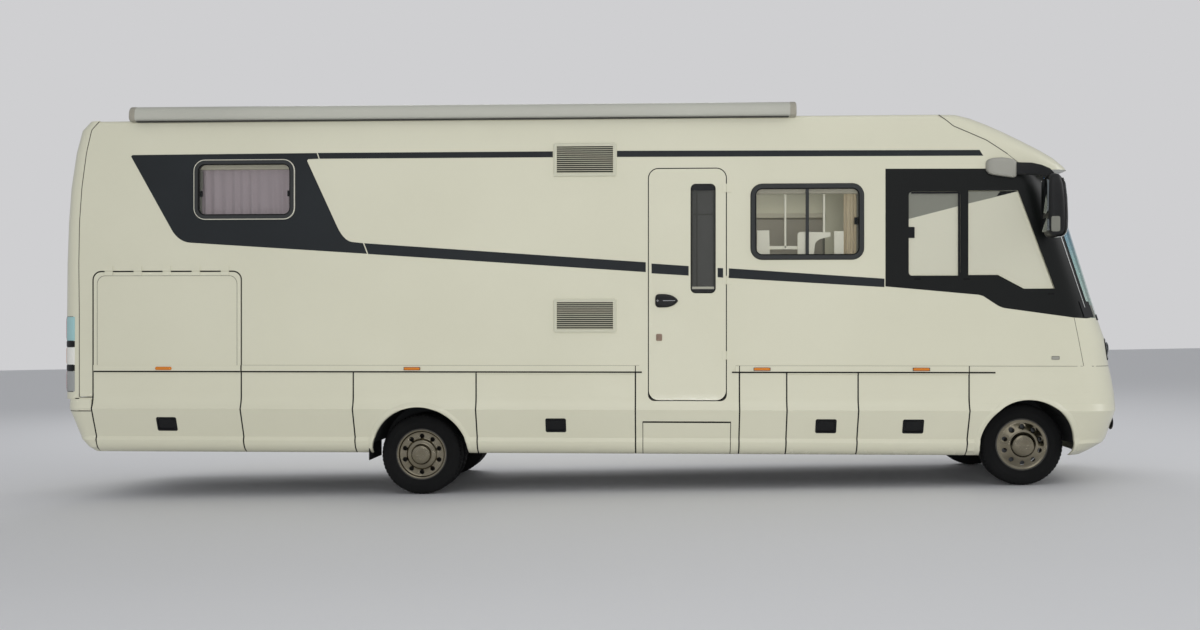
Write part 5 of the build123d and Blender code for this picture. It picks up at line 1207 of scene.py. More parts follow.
# The colour runs with height: a painted reflection of the sky, under a partly clear surface.
screen_glass, tree = blank("laminated_windscreen")
spot = add(tree, "ShaderNodeTexCoord")
apart = add(tree, "ShaderNodeSeparateXYZ", inputs={0: (spot, "Object")})
rise = add(tree, "ShaderNodeMapRange", inputs={"Value": (apart, "Z"), "From Min": 1.45, "From Max": 2.7})
painted_sky_reflection = add(tree, "ShaderNodeValToRGB", inputs={0: (rise, 0)})
bands = painted_sky_reflection.color_ramp
bands.elements[0].color = hue("#C4DCCF")
bands.elements[1].color = hue("#123A60")
for spot_at, shade in ((0.35, "#8FC0BC"), (0.62, "#2F86B4"), (0.85, "#1C5C92")):
    bands.elements.new(spot_at).color = hue(shade)
shader = add(tree, "ShaderNodeBsdfPrincipled", inputs={
    "Base Color": (painted_sky_reflection, 0), "Roughness": 0.03, "Alpha": 0.42, "IOR": 1.52})
add(tree, "ShaderNodeOutputMaterial", inputs={"Surface": (shader, 0)})
coat(screen_glass, "windscreen")


def side_of_screen(z):
    """Station of the windscreen's side edge at a height."""
    (x1, z1), (x0, z0) = SCREEN_SIDE
    return x0 + (x1 - x0) * (z - z0) / (z1 - z0)


def edge_strip(z, near, far, low, high, side):
    """A strip beside the windscreen's edge, from near to far ahead of it, between two depths off the skin."""
    def row(ahead, lift):
        """A line ahead of the edge, lifted off the skin."""
        x = side_of_screen(z) + ahead
        return np.column_stack([x, side * half_width(x, z, lift), z])

    return bead(row, near, far, low, high)


for side, word in SIDES:
    trim = edge_strip(np.linspace(1600, 2650, 40), -32, -27, -1, 2.5, side)
    piece(f"pillar_line_{word}", *trim, silver, sharp=50)
    groove = edge_strip(np.linspace(1516, 2734, 60), -7, 5, -4, 1.8, side)
    piece(f"screen_side_seal_{word}", *groove, SEAL_RUBBER, sharp=50)
    foot = edge_strip(np.linspace(1516, 1650, 12), -70, 30, -2, 7, side)
    piece(f"pillar_foot_cover_{word}", *foot, grained_black, sharp=50, bevel=2)
    plug = edge_strip(np.linspace(1516, 1618, 10), 36, 62, -2, 4, side)
    piece(f"pillar_foot_plug_{word}", *plug, rail_grey, sharp=50)


def band(half, low, high, upper_half=None):
    """A rectangle, or one with a shorter upper edge, centred on the nose."""
    upper_half = upper_half or half
    return [(-half, low), (half, low), (upper_half, high), (-upper_half, high)]


printed = moulded("printed_black_border", "black_plastic", "#0F1011", 0.2, 1.5, 0.0)
film("screen_border", band(1005.0, SCREEN_FOOT + 4, SCREEN_TOP - 4), printed, lift=-7.6, thick=0.6,
     front=True, holes=[rounded(-930, 930, SCREEN_FOOT + 95, SCREEN_TOP - 70, 90)])
film("screen_foot_cowl", band(980, SCREEN_FOOT - 16, SCREEN_FOOT + 30, 960), grained_black, lift=6, thick=8,
     front=True, bevel=2)
film("screen_top_seal", band(905, SCREEN_TOP - 10, SCREEN_TOP + 3), SEAL_RUBBER, lift=2.5, thick=5,
     front=True)


def on_nose(a, b, lifts, width, steps=24):
    """A flat bar lying off the nose from point a to point b, both (y, z), with a lift at each end."""
    share = np.linspace(0, 1, steps)[:, None]
    run = np.array(b, float) - a
    aside = np.array((-run[1], run[0])) / np.linalg.norm(run)
    lift = lifts[0] + (lifts[1] - lifts[0]) * share[:, 0]

    def row(shift, up):
        """The bar's line, shifted sideways and raised."""
        flat = np.array(a) + run * share + shift * aside
        return np.column_stack([nose_reach(flat[:, 0], flat[:, 1], lift + up), flat])

    return bead(row, -width / 2, width / 2, 0, width * 0.7)


def boss(y, z, rings, base=None):
    """A round form that stands on the nose at (y, z), of (lift, radius) rings; with a base, the lifts count
    straight ahead from the skin at that lift."""
    return swept([((nose_reach(y, z, lift) if base is None else nose_reach(y, z, base) + lift, y, z),
                   (0, 1, 0), (0, 0, 1), wide, wide, 2) for lift, wide in rings])


for number, (pivot, tip) in enumerate((((760, 1530), (90, 1640)), ((-60, 1530), (-730, 1640)))):
    arm = on_nose(pivot, np.array(tip) + (200, -34), (16, 22), 16)
    blade = on_nose(tip, np.array(tip) + (620, -92), (6, 6), 9)
    knuckle = boss(*pivot, ((4, 26), (22, 26), (28, 20), (34, 18), (36, 12)))
    piece(f"wiper_{number}", *joined([arm, blade, knuckle]), grained_black, sharp=40)

# Nose panel, lamps and bumper
# A gel-coated panel with seams to the sides and the bumper; clear headlamp units with a chromed bowl each,
# a black grille between them, a lower intake with fog lamps, and a blank number plate.
MASK_FOOT = 1112.0
lens = finish("clear_polycarbonate_lens", "headlamp_lens", "#E9EEF0", {"Alpha": 0.22, "IOR": 1.58},
              (20.0, 2.0), (0.03, 0.08))
lamp_body = moulded("dark_lamp_body", None, "#22262A", 0.3, 1.0, 0.1)
coat(lamp_body, "headlamps")
heights = np.linspace(MASK_FOOT + 2, SCREEN_FOOT - 2, 24)
seam_x = 4001 + (4078 - 4001) * (SCREEN_FOOT - heights) / (SCREEN_FOOT - MASK_FOOT)
for side, word in SIDES:
    def mask_row(ahead, lift):
        """The seam beside the front mask, moved ahead and lifted."""
        return np.column_stack([seam_x + ahead, side * half_width(seam_x + ahead, heights, lift), heights])

    piece(f"mask_side_seam_{word}", *bead(mask_row, -2, 2, -2, 0.5), dark_sealant)
    # Side indicator: a small clear lens in a chromed rim
    film(f"side_indicator_rim_{word}", rounded(3814, 3880, 1166, 1196, 7), rail_grey, side=side, lift=5,
         thick=6, bevel=1.5, holes=[rounded(3819, 3875, 1171, 1191, 4)])
    film(f"side_indicator_lens_{word}", rounded(3818, 3876, 1170, 1192, 4), pod_grey, slot="headlamp_lens",
         side=side, lift=4, thick=4, bevel=1)

    # Headlamp: bezel, clear cover, bowl and lens
    a, b = span(side, 626, 954)
    film(f"headlamp_bezel_{word}", rounded(a - 4, b + 4, 1158, 1342, 30), grained_black, lift=4, thick=6,
         front=True, bevel=1.5, holes=[rounded(a + 8, b - 8, 1170, 1330, 24)])
    film(f"headlamp_cover_{word}", rounded(a + 6, b - 6, 1168, 1332, 25), lens, lift=12, thick=3, front=True)
    for name, centre, wide in (("dip", 720, 62), ("main", 868, 58)):
        bowl = [(0.5, wide), (3, wide), (2.5, wide - 4), (1.5, wide - 10), (0.2, wide - 24), (0.0, 3)]
        piece(f"headlamp_bowl_{name}_{word}", *boss(side * centre, 1252.0, bowl, 2.0), chrome, sharp=40)
        bulb = [(0, 36), (4, 36), (7, 28), (8.5, 15), (9, 4)]
        piece(f"headlamp_lens_{name}_{word}", *boss(side * centre, 1252.0, bulb, 2.0), lens, sharp=40)

    # Fog lamp: ring, glass and bowl
    y, z = side * 815.0, 630.0
    ring = boss(y, z, [(2, 62), (7, 60), (8, 55), (5, 50), (3, 50)])
    piece(f"fog_lamp_ring_{word}", *ring, grained_black, sharp=40)
    glass = boss(y, z, [(3, 50), (6.5, 48), (9, 36), (10.5, 18), (11, 3)])
    piece(f"fog_lamp_glass_{word}", *glass, lens, sharp=50)
    bowl = boss(y, z, [(0.4, 49), (1.4, 49), (1.0, 30), (0.6, 4)], 2.6)
    piece(f"fog_lamp_bowl_{word}", *bowl, chrome, sharp=40)

# Grille between the lamps, and the lower intake: a frame, a dark back and bars
film("grille_frame", rounded(-560, 560, 1168, 1332, 45), grained_black, lift=5, thick=6, front=True, bevel=2,
     holes=[rounded(-540, 540, 1186, 1314, 28)])
film("grille_back", rounded(-548, 548, 1178, 1322, 34), SEAL_RUBBER, lift=1.0, thick=0.8, front=True)
bars = [on_nose((-538, z), (538, z), (1.5, 1.5), 7, 40) for z in np.linspace(1202, 1298, 6)]
bars += [on_nose((y, 1188), (y, 1312), (1, 1), 5, 6) for y in np.linspace(-480, 480, 9)]
piece("grille_bars", *joined(bars), grained_black, sharp=40)
film("front_intake", rounded(-640, 640, 560, 700, 50), grained_black, lift=4, thick=6, front=True, bevel=2,
     holes=[rounded(-618, 618, 580, 680, 34)])
film("front_intake_back", rounded(-626, 626, 572, 688, 40), SEAL_RUBBER, lift=1.0, thick=0.8, front=True)
bars = [on_nose((-616, z), (616, z), (1, 1), 5, 40) for z in np.linspace(594, 668, 4)]
bars += [on_nose((y, 582), (y, 678), (1, 1), 5, 6) for y in np.linspace(-570, 570, 20)]
piece("front_intake_mesh", *joined(bars), grained_black, sharp=40)
stations = np.linspace(-1120, 1120, 90)


def foot_row(height, lift):
    """The seam between the mask and the bumper, at a height and a lift."""
    return np.column_stack([nose_reach(stations, height, lift), stations, np.full(90, height)])


piece("mask_foot_seam", *bead(foot_row, 1110, 1114, -2, 0.8), dark_sealant)
plate_white = moulded("blank_plate_enamel", "frame_plastic", "#DEDEDA", 0.35, 1.0, 0.0)
film("front_plate_base", rounded(-268, 268, 812, 932, 8), grained_black, lift=9, thick=10, front=True,
     bevel=1)
film("front_plate_blank", rounded(-260, 260, 817, 927, 6), plate_white, lift=11, thick=2.5, front=True,
     bevel=0.6)

# Rear: lamps, plate, reflectors and bumper seam
# Each rear corner carries a tall lamp bent round it, of three stacked chambers: tinted clear, white and grey
# lenses towards the side, red and amber ones towards the rear, parted by black bars.
REAR_TABLE = np.array([(830, -4557, 150), (1557, -4557, 146), (1982, -4550, 139), (2338, -4533, 128),
                       (2638, -4510, 126), (2940, -4460, 117), (3130, -4404, 106), (3204, -4330, 100)], float)


def around_rear(along, z, lift, side):
    """A point on the rear moulding: along is measured in millimetres outwards from where the flat rear face
    turns into the corner, so that negative values lie on the face and positive ones on the corner's arc."""
    start = np.interp(z, REAR_TABLE[:, 0], REAR_TABLE[:, 1])
    radius = np.interp(z, REAR_TABLE[:, 0], REAR_TABLE[:, 2])
    angle = np.clip(along / radius, 0, math.pi / 2)
    beyond = np.maximum(along - radius * math.pi / 2, 0)
    x = start + radius - (radius + lift) * np.cos(angle) + beyond
    y = WALL_HALF - radius + (radius + lift) * np.sin(angle) + np.minimum(along, 0)
    return np.stack([x, side * y, z + 0 * x], -1)


def rear_pad(along, z, deep, high, side):
    """A lens on the rear corner between two distances along and two heights, with a low rounded edge."""
    steps = 14
    u = np.linspace(0, 1, steps)[:, None]
    v = np.linspace(0, 1, 8)[None, :]
    edge_u = np.minimum(1, np.minimum(u, 1 - u) * (along[1] - along[0]) / 7)
    edge_v = np.minimum(1, np.minimum(v, 1 - v) * (z[1] - z[0]) / 7)
    lift = high - 3.5 * (1 - np.sqrt(np.clip(edge_u * edge_v, 0, 1)))
    place = along[0] + (along[1] - along[0]) * u + 0 * v, z[0] + (z[1] - z[0]) * v + 0 * u
    top = around_rear(*place, lift, side)
    foot = around_rear(*place, deep, side)
    points, faces = lattice(top)
    size, count = top.shape[1], len(points)
    rim = list(range(size)) + [r * size + size - 1 for r in range(1, steps)]
    rim += [(steps - 1) * size + c for c in range(size - 2, -1, -1)]
    rim += [r * size for r in range(steps - 2, 0, -1)]
    walls = [[a, b, b + count, a + count] for a, b in zip(rim, rim[1:] + rim[:1])]
    back = [[i + count for i in face[::-1]] for face in faces]
    return np.vstack([points, foot.reshape(-1, 3)]), faces + walls + back


coat(lamp_body, "tail_and_marker_lamps")
red_lens = lamp_lens("red_pmma_lens", "#A3120F", 0.03)
turquoise_lens = lamp_lens("turquoise_tinted_lens", "#9CC3C4")
white_lens = lamp_lens("white_pmma_lens", "#E4E3DC")
grey_lens = lamp_lens("grey_tinted_lens", "#9A9C9A")
CORNER_START = 86.0
CORNER_END = 206.0
FACE_START = -48.0
CHAMBERS = [("top", (1322, 1526), turquoise_lens, red_lens), ("upper", (1116, 1264), white_lens, amber),
            ("low", (886, 1058), grey_lens, red_lens)]
BARS = [(1267, 1319), (1061, 1113)]
for side, word in SIDES:
    for name, z, outer_lens, rear_lens in CHAMBERS:
        piece(f"tail_lens_side_{name}_{word}", *rear_pad((CORNER_START, CORNER_END), z, -2, 5.5, side),
              outer_lens, sharp=50)
        piece(f"tail_lens_rear_{name}_{word}", *rear_pad((FACE_START, CORNER_START - 3), z, -2, 5.5, side),
              rear_lens, sharp=50)
    for number, z in enumerate(BARS):
        piece(f"tail_bar_{number}_{word}", *rear_pad((FACE_START, CORNER_END), z, -2, 4, side),
              grained_black, sharp=50)


def rear_box(y, z, lift):
    """A flat plate on the rear face between two distances across and two heights, and between two lifts."""
    loops = []
    flat = rounded(y[0], y[1], z[0], z[1], min(8.0, (z[1] - z[0]) / 3))
    for rise in lift:
        start = np.interp(flat[:, 1], REAR_TABLE[:, 0], REAR_TABLE[:, 1])
        loops.append(np.column_stack([start - rise, flat]))
    return closed(loops)


piece("rear_plate_base", *rear_box((-272, 272), (1000, 1126), (-2, 10)), grained_black, sharp=40, bevel=2)
piece("rear_plate_blank", *rear_box((-260, 260), (1008, 1118), (9, 12)), plate_white, sharp=40)
piece("rear_plate_light", *rear_box((-150, 150), (1132, 1160), (-2, 26)), grained_black, sharp=40, bevel=3)
piece("rear_high_lamp", *rear_box((-210, 210), (2880, 2912), (-2, 9)), red_lens, sharp=40, bevel=2)
camera_pod = swept([((-4440 - out, 0, 2986), (0, 1, 0), (0, 0, 1), wide, high, 3)
                    for out, wide, high in ((0, 70, 40), (24, 68, 38), (52, 56, 30), (66, 40, 22),
                                            (70, 20, 12))])
piece("rear_camera_pod", *camera_pod, grained_black, sharp=50)
for side, word in SIDES:
    a, b = span(side, 700, 860)
    piece(f"rear_clearance_lamp_{word}", *rear_box((a, b), (3000, 3024), (-2, 8)), red_lens, sharp=40,
          bevel=2)
BUMPER_BACK = np.array([(360, -4334), (402, -4375), (468, -4430), (500, -4450), (742, -4517), (822, -4518)],
                       float)


def back_reach(z):
    """Station of the bumper's rear face at a height."""
    return np.interp(z, BUMPER_BACK[:, 0], BUMPER_BACK[:, 1])


def skirt_row(height, lift):
    """The seam above the bumper's skirt, at a height and a lift."""
    return np.array([(back_reach(height) - lift, y, height) for y in np.linspace(-985, 985, 60)])


piece("rear_bumper_seam", *bead(skirt_row, 716, 724, -2, 1.2), dark_sealant, sharp=60)
# Where the side's panel meets the bumper's corner, a cream filler closes the gap under the moulding
BUMPER_SIDE = 1165.0
BUMPER_ROUND = 138.0
for side, word in SIDES:
    filler = block((-4395, -4282), span(side, WALL_HALF - 12, WALL_HALF + 0.5), (819, 833))
    filler = joined([filler, rear_pad((-48, CORNER_END), (818, 834), -8, 0.6, side)])
    piece(f"rear_corner_filler_{word}", *filler, GEL_COAT, sharp=50)
    turn = np.radians(np.linspace(0, 81, 20))
    along = np.linspace(-4390, -4283, 8)

    def corner_row(height, lift):
        """The same seam, which runs on round the corner to the garage door."""
        x = np.append(back_reach(height) + BUMPER_ROUND - (BUMPER_ROUND + lift) * np.cos(turn), along)
        y = np.append(BUMPER_SIDE - BUMPER_ROUND + (BUMPER_ROUND + lift) * np.sin(turn),
                      half_width(along, height, lift))
        return np.column_stack([x, side * y, np.full(len(x), height)])

    piece(f"bumper_corner_seam_{word}", *bead(corner_row, 716, 724, -2, 1.2), dark_sealant, sharp=60)
for side, word in SIDES:
    a, b = span(side, 700, 880)
    flat = rounded(a, b, 590, 640, 14)
    loops = [np.column_stack([back_reach(flat[:, 1]) - lift, flat]) for lift in (-2, 6, 8)]
    piece(f"rear_reflector_{word}", *closed(loops), red_lens, sharp=40, bevel=1.5)
grilles = [block((-4516, -4508), (y, y + 120), (z, z + 8)) for y in (-620, 500) for z in (760, 776, 792)]
piece("rear_bumper_louvres", *joined(grilles), grained_black, bevel=2)

# Chassis, axles, springs and linings
# Black-painted channel rails with rusty tones in soft blotches, a galvanised rear extension, cast axles, a
# browned exhaust and ribbed black plastic housings. Clamp bolts, dampers, straps and brakes are drawn on
# them.
def worn_metal(name, slot, dark, light, rough, metallic, scale=6.0):
    """Metal whose colour and roughness change between two values in soft blotches with fine grain."""
    return finish(name, slot, (dark, light), {"Metallic": metallic}, (scale, 6.0),
                  (rough - 0.08, rough + 0.12), gritty(160.0, 2.0, 0.25, 0.001))


rail_paint = worn_metal("black_painted_steel", "axle_iron", "#17181A", "#2C2723", 0.5, 0.0)
zinc = worn_metal("hot_dip_galvanised_steel", "frame_steel", "#83888B", "#A7ABAC", 0.45, 0.7, 14.0)
cast_iron = worn_metal("dark_cast_iron", "axle_iron", "#232221", "#3A3430", 0.65, 0.4, 9.0)
spring_steel = worn_metal("painted_spring_steel", "spring_steel", "#202122", "#3B322B", 0.55, 0.3)
browned = worn_metal("browned_exhaust_steel", "exhaust_steel", "#6E5F50", "#94887A", 0.45, 0.8, 5.0)
grey_iron = worn_metal("grey_engine_iron", "axle_iron", "#5B5D5F", "#757779", 0.55, 0.5)
coat(rail_paint, "chassis_rails", "cross_members", "outriggers", "front_suspension")
coat(zinc, "rear_frame")
coat(cast_iron, "rear_axle", "front_knuckle_right", "front_knuckle_left")
coat(spring_steel, "leaf_springs")
coat(browned, "exhaust")
coat(grey_iron, "engine_block")
coat(moulded("black_polyethylene_tank", None, "#1B1C1D", 0.5, 2.0, 0.4), "fuel_tank")
coat(moulded("black_moulded_housing", None, "#1D1E1F", 0.7, 4.0, 0.5), "wheel_housings")
coat(moulded("grey_locker_lining", None, "#8D8E8B", 0.75, 2.5, 0.3), "storage_linings")
coat(moulded("grey_gel_coated_floor", None, "#75756F", 0.6, 3.0, 0.3), "floor_panel")


def rod(a, b, radius, ends=()):
    """A round bar between two points, with optional wider collars as (share, length, radius)."""
    a, b = np.array(a, float), np.array(b, float)
    along = (b - a) / np.linalg.norm(b - a)
    across = np.cross(along, (0.31, 0.87, 0.38))
    across /= np.linalg.norm(across)
    up = np.cross(along, across)
    parts = [swept([(end, across, up, radius, radius, 2) for end in (a, b)])]
    for share, length, wide in ends:
        end = length / 2
        steps = (-end, wide - 2), (2 - end, wide), (end - 2, wide), (end, wide - 2)
        parts.append(swept([(a + (b - a) * share + along * s, across, up, w, w, 2) for s, w in steps]))
    return joined(parts)


def wheel_ring(centre, side, profile):
    """A closed profile of (radius, distance) pairs turned round a wheel's axis."""
    turn = np.linspace(0, 2 * math.pi, 65)[:-1, None]
    reach, out = np.array(profile, float).T
    x, y, z = centre
    return hoop(np.stack([x + reach * np.cos(turn), y + side * out + 0 * turn, z + reach * np.sin(turn)], -1))


rubber_bush = rubber("bush_rubber", "spring_steel", "#161718")
for side, word in SIDES:
    clamps = [block((x - 8, x + 8), span(side, 415 + 100 * end, 431 + 100 * end), (285, 452))
              for x in (-1506, -1426) for end in (0, 1)]
    clamps += [block((-1530, -1402), span(side, 412, 534), (436, 450)),
               block((-1530, -1402), span(side, 412, 534), (283, 295))]
    clamps += [rod((x, side * (423 + 100 * end), 450), (x, side * (423 + 100 * end), 468), 13)
               for x in (-1506, -1426) for end in (0, 1)]
    piece(f"spring_clamps_{word}", *joined(clamps), zinc, sharp=40)
    damper = rod((-1400, side * 560, 330), (-1180, side * 540, 705), 24,
                 [(0.62, 150, 34), (0.02, 36, 30), (0.98, 36, 30)])
    piece(f"rear_damper_{word}", *damper, rubber_bush, sharp=40)
    turn = np.linspace(0, 2 * math.pi * 6, 200)
    spots = np.column_stack([3634 + 62 * np.cos(turn), side * (500 + 0 * turn) + 62 * np.sin(turn),
                             355 + 215 * turn / turn[-1]])
    way = np.gradient(spots, axis=0)
    way /= np.linalg.norm(way, axis=1)[:, None]
    out = np.column_stack([np.cos(turn), np.sin(turn), 0 * turn])
    coil = swept([(spot, o, np.cross(w, o), 9, 9, 2) for spot, o, w in zip(spots, out, way)])
    piece(f"front_coil_{word}", *coil, spring_steel, sharp=60)
    damper = rod((3634, side * 500, 345), (3634, side * 500, 585), 20, [(0.4, 120, 28)])
    piece(f"front_damper_{word}", *damper, rubber_bush, sharp=40)

    # Front brake: a ventilated disc on the wheel, a caliper and a dust shield on the steered knuckle
    hub = FRONT_AXLE + (0, side * FRONT_HALF_TRACK, 0)
    disc = wheel_ring(hub, side,
                      [(58, 24), (58, 34), (92, 34), (96, 22), (166, 22), (166, 12), (100, 12), (100, 6),
                                   (166, 6), (166, -4), (90, -4), (84, 24)])
    piece(f"brake_disc_{word}", *disc, grey_iron, f"front_wheel_{word}", sharp=40)
    shield = wheel_ring(hub, side, [(40, -14), (176, -14), (176, -4), (174, -4), (174, -16), (40, -16)])
    piece(f"brake_shield_{word}", *shield, rail_paint, f"steering_{word}", sharp=40)
    caliper = block((3500, 3550), span(side, 835, 882), (395, 495))
    piece(f"brake_caliper_{word}", *caliper, cast_iron, f"steering_{word}", bevel=8)

# Rear brake drums fill the space inside the inner rims, and a flange closes the axle's round case
DRUM = [(50, 640), (168, 640), (168, 668), (174, 672), (174, 700), (164, 706), (50, 706)]
for side, word in SIDES:
    piece(f"rear_brake_drum_{word}", *wheel_ring(REAR_AXLE, side, DRUM), cast_iron, sharp=40)
piece("axle_case_flange", *rod((-1466, -24, 345), (-1466, 24, 345), 158, [(0.5, 22, 163)]), cast_iron,
      sharp=40)

# Tank straps, exhaust clamps and tail pipe
straps = []
loop = [(438, 742), (438, 426), (904, 426), (904, 736), (440, 736)]
for x in (1180, 1760):
    for (y0, z0), (y1, z1) in zip(loop, loop[1:]):
        straps.append(block((x - 22, x + 22), sorted((y0 - 3, y1 + 3)), sorted((z0 - 3, z1 + 3))))
piece("tank_straps", *joined(straps), zinc, bevel=1)
CLAMPS = ((-20, 46), (70, 44), (900, 44), (2700, 44), (-480, 112), (-140, 112))
clamps = [rod((x - 12, 240, 500), (x + 12, 240, 500), wide) for x, wide in CLAMPS]
tail = rod((-640, 240, 500), (-1000, 270, 470), 32)
end = rod((-1000, 270, 470), (-1060, 620, 440), 32)
piece("exhaust_clamps", *joined(clamps), zinc, slot="exhaust_steel", sharp=40)
piece("exhaust_tail_pipe", *joined([tail, end]), browned, sharp=40)
bolts = [rod((x, side * 441, z), (x, side * 447, z), 11)
         for x in (-2410, -2290) for z in (470, 600) for side in (-1, 1)]
piece("frame_bolts", *joined(bolts), zinc, sharp=40)

# Stiff rubber flaps hang behind the rear wheels from a steel strip
for side, word in SIDES:
    flap = block((-1904, -1896), span(side, 600, 1060), (300, 640))
    piece(f"mud_flap_{word}", *flap, rubber_bush, slot="black_plastic", bevel=1.5)
    strip = block((-1896, -1890), span(side, 600, 1060), (600, 640))
    piece(f"mud_flap_strip_{word}", *strip, zinc, bevel=1)

# Dashboard and steering wheel
# Grained dark grey plastic. An instrument hood with a dark panel, round air vents and a small screen sit
# on it; the steering wheel has a padded boss.
dash_grey = moulded("grained_dash_plastic", "dash_plastic", "#3C3D3F", 0.65, 3.0, 0.4)
coat(dash_grey, "dashboard")
HOOD = [(3770, 1515), (3775, 1600), (3800, 1645), (3860, 1655), (3980, 1590), (4040, 1500)]
piece("instrument_hood", *board(HOOD, (290, 670)), dash_grey, bevel=12)
piece("instrument_panel", *board([(3764, 1524), (3772, 1618), (3782, 1618), (3774, 1524)], (320, 640)),
      gloss_black, slot="black_plastic", bevel=3)
piece("centre_screen", *board([(3757, 1420), (3772, 1560), (3792, 1560), (3777, 1420)], (-150, 130)),
      gloss_black, slot="black_plastic", bevel=6)
dials = [rod((3760, y, 1572), (3768, y, 1571), 58) for y in (400, 560)]
piece("instrument_dials", *joined(dials), rail_grey, slot="dash_plastic", sharp=40)
vents = [rod((3690, y, 1340), (3704, y, 1340), 46, [(0.1, 8, 52)]) for y in (-940, -700, 180, 760, 950)]
piece("dash_air_vents", *joined(vents), grained_black, sharp=40)
tilt = math.radians(55)
up = np.array((math.cos(tilt), 0.0, math.sin(tilt)))
facing = np.array((-math.sin(tilt), 0.0, math.cos(tilt)))
hub_pad = swept([(np.array((3560.0, 480.0, 1560.0)) + facing * out, (0, 1, 0), up, wide, wide, 2.6)
                 for out, wide in ((-24, 66), (-4, 74), (10, 76), (20, 70), (26, 55), (28, 20))])
piece("steering_boss", *hub_pad, dash_grey, sharp=60)

# Cab seats, bench and bed
# Grey-beige woven covers over foam: each cushion is crowned, its sides pull in between the corners, and
# piping is sewn round its edges. The bed has a mattress with a quilted cover and two pillows.
seat_cloth = cloth("grey_beige_seat_cloth", "seat_cover", "#A39C8C")
bed_cloth = cloth("pale_quilted_cotton", "seat_cover", "#C9C6BC")
piping = cloth("dark_seat_piping", "seat_cover", "#5B574F")


def cushion(name, centre, axes, size, crown, material, pull=0.035, power=5.0):
    """A crowned pad: rings of a rounded rectangle, pulled in at the middles of its sides, from the foot over
    a rounded flank to a crown whose height falls off towards the edge; piping follows the upper edge."""
    axes = [np.array(axis, float) / np.linalg.norm(axis) for axis in axes]
    half = np.array(size, float) / 2
    turn = np.linspace(0, 2 * math.pi, 97)[:-1]
    c, s = np.cos(turn), np.sin(turn)
    ring = np.column_stack([np.sign(c) * np.abs(c) ** (2 / power), np.sign(s) * np.abs(s) ** (2 / power)])
    ring = ring * (1 - pull * np.cos(2 * turn) ** 2)[:, None]
    edge = min(half[2], 38.0)
    bend_at = np.linspace(-math.pi / 2, math.pi / 2, 13)
    inset = edge * (1 - np.cos(bend_at))
    rise = np.sign(bend_at) * (half[2] - edge) + edge * np.sin(bend_at)
    rows = [(ring * (half[:2] - inset[0]) * share, -half[2]) for share in np.linspace(0.1, 1.0, 6)[:-1]]
    rows += [(ring * (half[:2] - i), r) for i, r in zip(inset, rise)]
    rows += [(ring * (half[:2] - inset[-1]) * share, half[2] + crown * (1 - share ** 2))
             for share in np.linspace(1.0, 0.06, 12)[1:]]
    grid = np.stack([np.column_stack([flat, np.full(len(flat), level)]) for flat, level in rows])
    pad = piece(name, *closed(grid @ np.stack(axes) + centre), material, sharp=60)
    top = ring * (half[:2] - 6)
    tube = np.linspace(0, 2 * math.pi, 9)[:-1]
    outward = top / np.linalg.norm(top, axis=1)[:, None]
    sewn = [np.column_stack([top + 4.5 * np.cos(t) * outward,
                             np.full(len(top), half[2] - 16 + 4.5 * np.sin(t))])
            for t in tube]
    cord = piece(f"{name}_piping", *hoop(np.stack(sewn, 1) @ np.stack(axes) + centre), piping, sharp=60)
    cord.parent = pad


LEVEL = [(1, 0, 0), (0, 1, 0), (0, 0, 1)]
lean = np.array((-120.0, 0.0, 710.0))
BACK = [lean, (0, 1, 0), np.cross(lean, (0, -1, 0))]
for side, word in SIDES:
    y = side * 520.0
    cushion(f"seat_cushion_{word}", (3045, y, 1462), LEVEL, (510, 490, 130), 22, seat_cloth)
    cushion(f"seat_back_{word}", (2775, y, 1905), BACK, (660, 470, 120), 18, seat_cloth)
    cushion(f"seat_headrest_{word}", (2712, y, 2330), BACK, (150, 260, 90), 10, seat_cloth,
            power=4.0)
    for arm in (-1, 1):
        cushion(f"seat_arm_{word}_{arm + 1}", (2975, y + arm * 278, 1690), LEVEL, (330, 56, 52), 4,
                seat_cloth, power=4.0)
    base = [block((2850, 3200), (y - 180, y + 180), (1080, 1330)),
            block((2810, 3240), (y - 215, y + 215), (1330, 1398))]
    base += [rod((2680, y + end * 50, 2200), (2700, y + end * 50, 2330), 7) for end in (-1, 1)]
    base += [rod((2790, y + end * 262, 1660), (2860, y + end * 262, 1676), 15) for end in (-1, 1)]
    pedestal = piece(f"seat_pedestal_{word}", *joined(base), dash_grey, bevel=6)
    if side > 0:
        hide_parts("cab_seats")

veneer, tree = blank("pear_wood_veneer")
spot = add(tree, "ShaderNodeTexCoord")
spread = add(tree, "ShaderNodeMapping", inputs={"Vector": (spot, "Object"), "Scale": (1.2, 14.0, 14.0)})
grain = add(tree, "ShaderNodeTexNoise",
            inputs={"Vector": (spread, 0), "Scale": 3.0, "Detail": 6.0, "Distortion": 0.6})
tone = add(tree, "ShaderNodeMix", {"data_type": "RGBA"},
           {0: (grain, 0), 6: hue("#8A6A49"), 7: hue("#B08E67")})
shader = add(tree, "ShaderNodeBsdfPrincipled",
             inputs={"Base Color": (tone, 2), "Roughness": 0.4, "Coat Weight": 0.2})
add(tree, "ShaderNodeOutputMaterial", inputs={"Surface": (shader, 0)})
coat(veneer, "interior_furniture")
cushion("lounge_bench_pad", (1855, -850, 1605), LEVEL, (930, 480, 125), 18, seat_cloth)
cushion("mattress", (-3655, 0, 2196), LEVEL, (1370, 2150, 150), 16, bed_cloth, pull=0.008, power=9.0)
for number, y in enumerate((-540, 540)):
    cushion(f"pillow_{number}", (-4080, y, 2345), LEVEL, (420, 640, 70), 60, bed_cloth, pull=0.1,
            power=4.0)
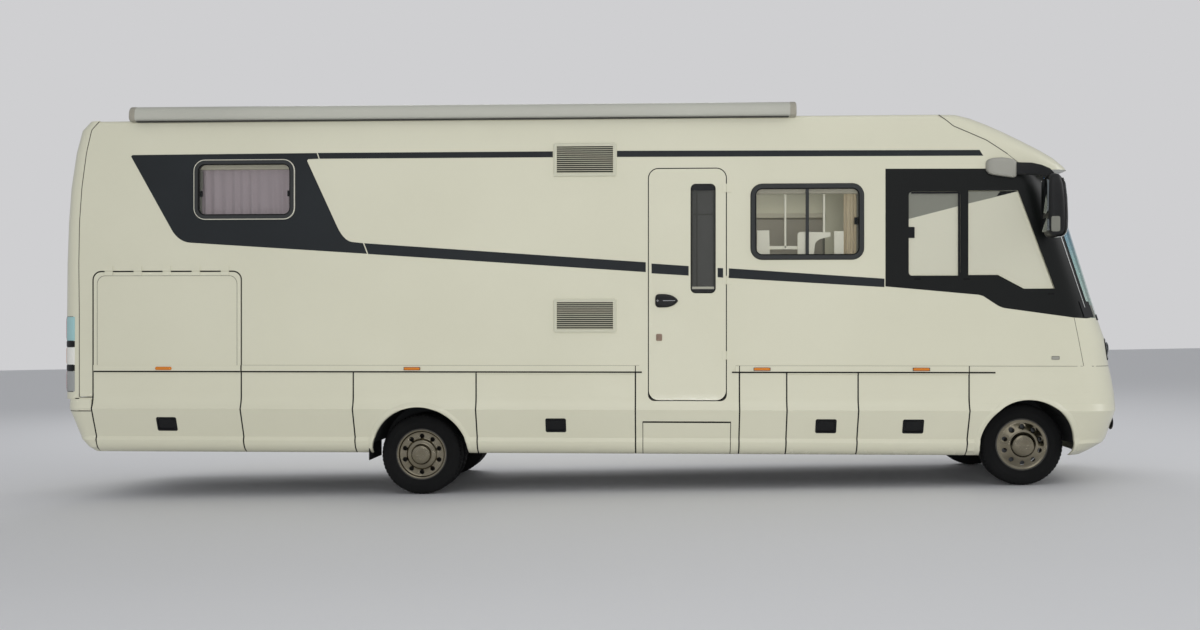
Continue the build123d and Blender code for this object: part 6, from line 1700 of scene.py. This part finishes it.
piece("kitchen_worktop", *block((-612, 362), (-1104, -505), (1381, 1411)), laminate, bevel=4)
leg = rod((1860, -340, 1080), (1860, -340, 1760), 40, [(0.01, 20, 170)])
piece("table_leg", *leg, chrome, slot="cabinet", sharp=40)
table = swept([((1860, -340, z), (1, 0, 0), (0, 1, 0), 430 + d, 300 + d, 5)
               for z, d in ((1760, -6), (1764, 0), (1784, 0), (1788, -4))])
piece("table_top", *table, laminate, sharp=50)
fronts = [block((x, x + 452), (290, 299), (z, z + high))
          for x in (-2890, -2425) for z, high in ((1090, 480), (1580, 505))]
fronts += [block((x, x + 300), (-519, -510), (1095, 1365)) for x in (-590, -280, 30)]
piece("cupboard_fronts", *joined(fronts), laminate, bevel=3)

# Roller blinds drawn down over the left windows, and the lamp under the lounge ceiling
blind_cloth, tree = blank("silvered_blind_cloth", "lining")
front_side = add(tree, "ShaderNodeBsdfDiffuse", inputs={"Color": hue("#B4B0A2")})
through = add(tree, "ShaderNodeBsdfTranslucent", inputs={"Color": hue("#A8A497")})
both = add(tree, "ShaderNodeMixShader", inputs={0: 0.35, 1: (front_side, 0), 2: (through, 0)})
add(tree, "ShaderNodeOutputMaterial", inputs={"Surface": (both, 0)})
for room, box in (("lounge", LOUNGE), ("kitchen", KITCHEN)):
    x0, x1, z0, z1 = box
    u, v = np.meshgrid(np.linspace(0, 1, 30), np.linspace(0, 1, 16))
    hang = 3.0 * np.sin(math.pi * u) * np.sin(3 * math.pi * v)
    grid = np.stack([x0 + 44 + (x1 - x0 - 88) * u, INNER - 8 - hang, z0 + 40 + (z1 - z0 - 112) * v], -1)
    blind = piece(f"roller_blind_{room}_left", *lattice(grid[:, ::-1]), blind_cloth, solid=False)
    thickened(blind, 0.8)
light = bpy.data.lights.new("ceiling_lamp", "AREA")
light.shape = "RECTANGLE"
light.size = 1.6
light.size_y = 0.5
light.energy = 15.0
lamp = bpy.data.objects.new("ceiling_lamp", light)
lamp.matrix_world = Matrix.Translation(parked([(1500.0, 0.0, 3120.0)])[0])
bpy.context.scene.collection.objects.link(lamp)
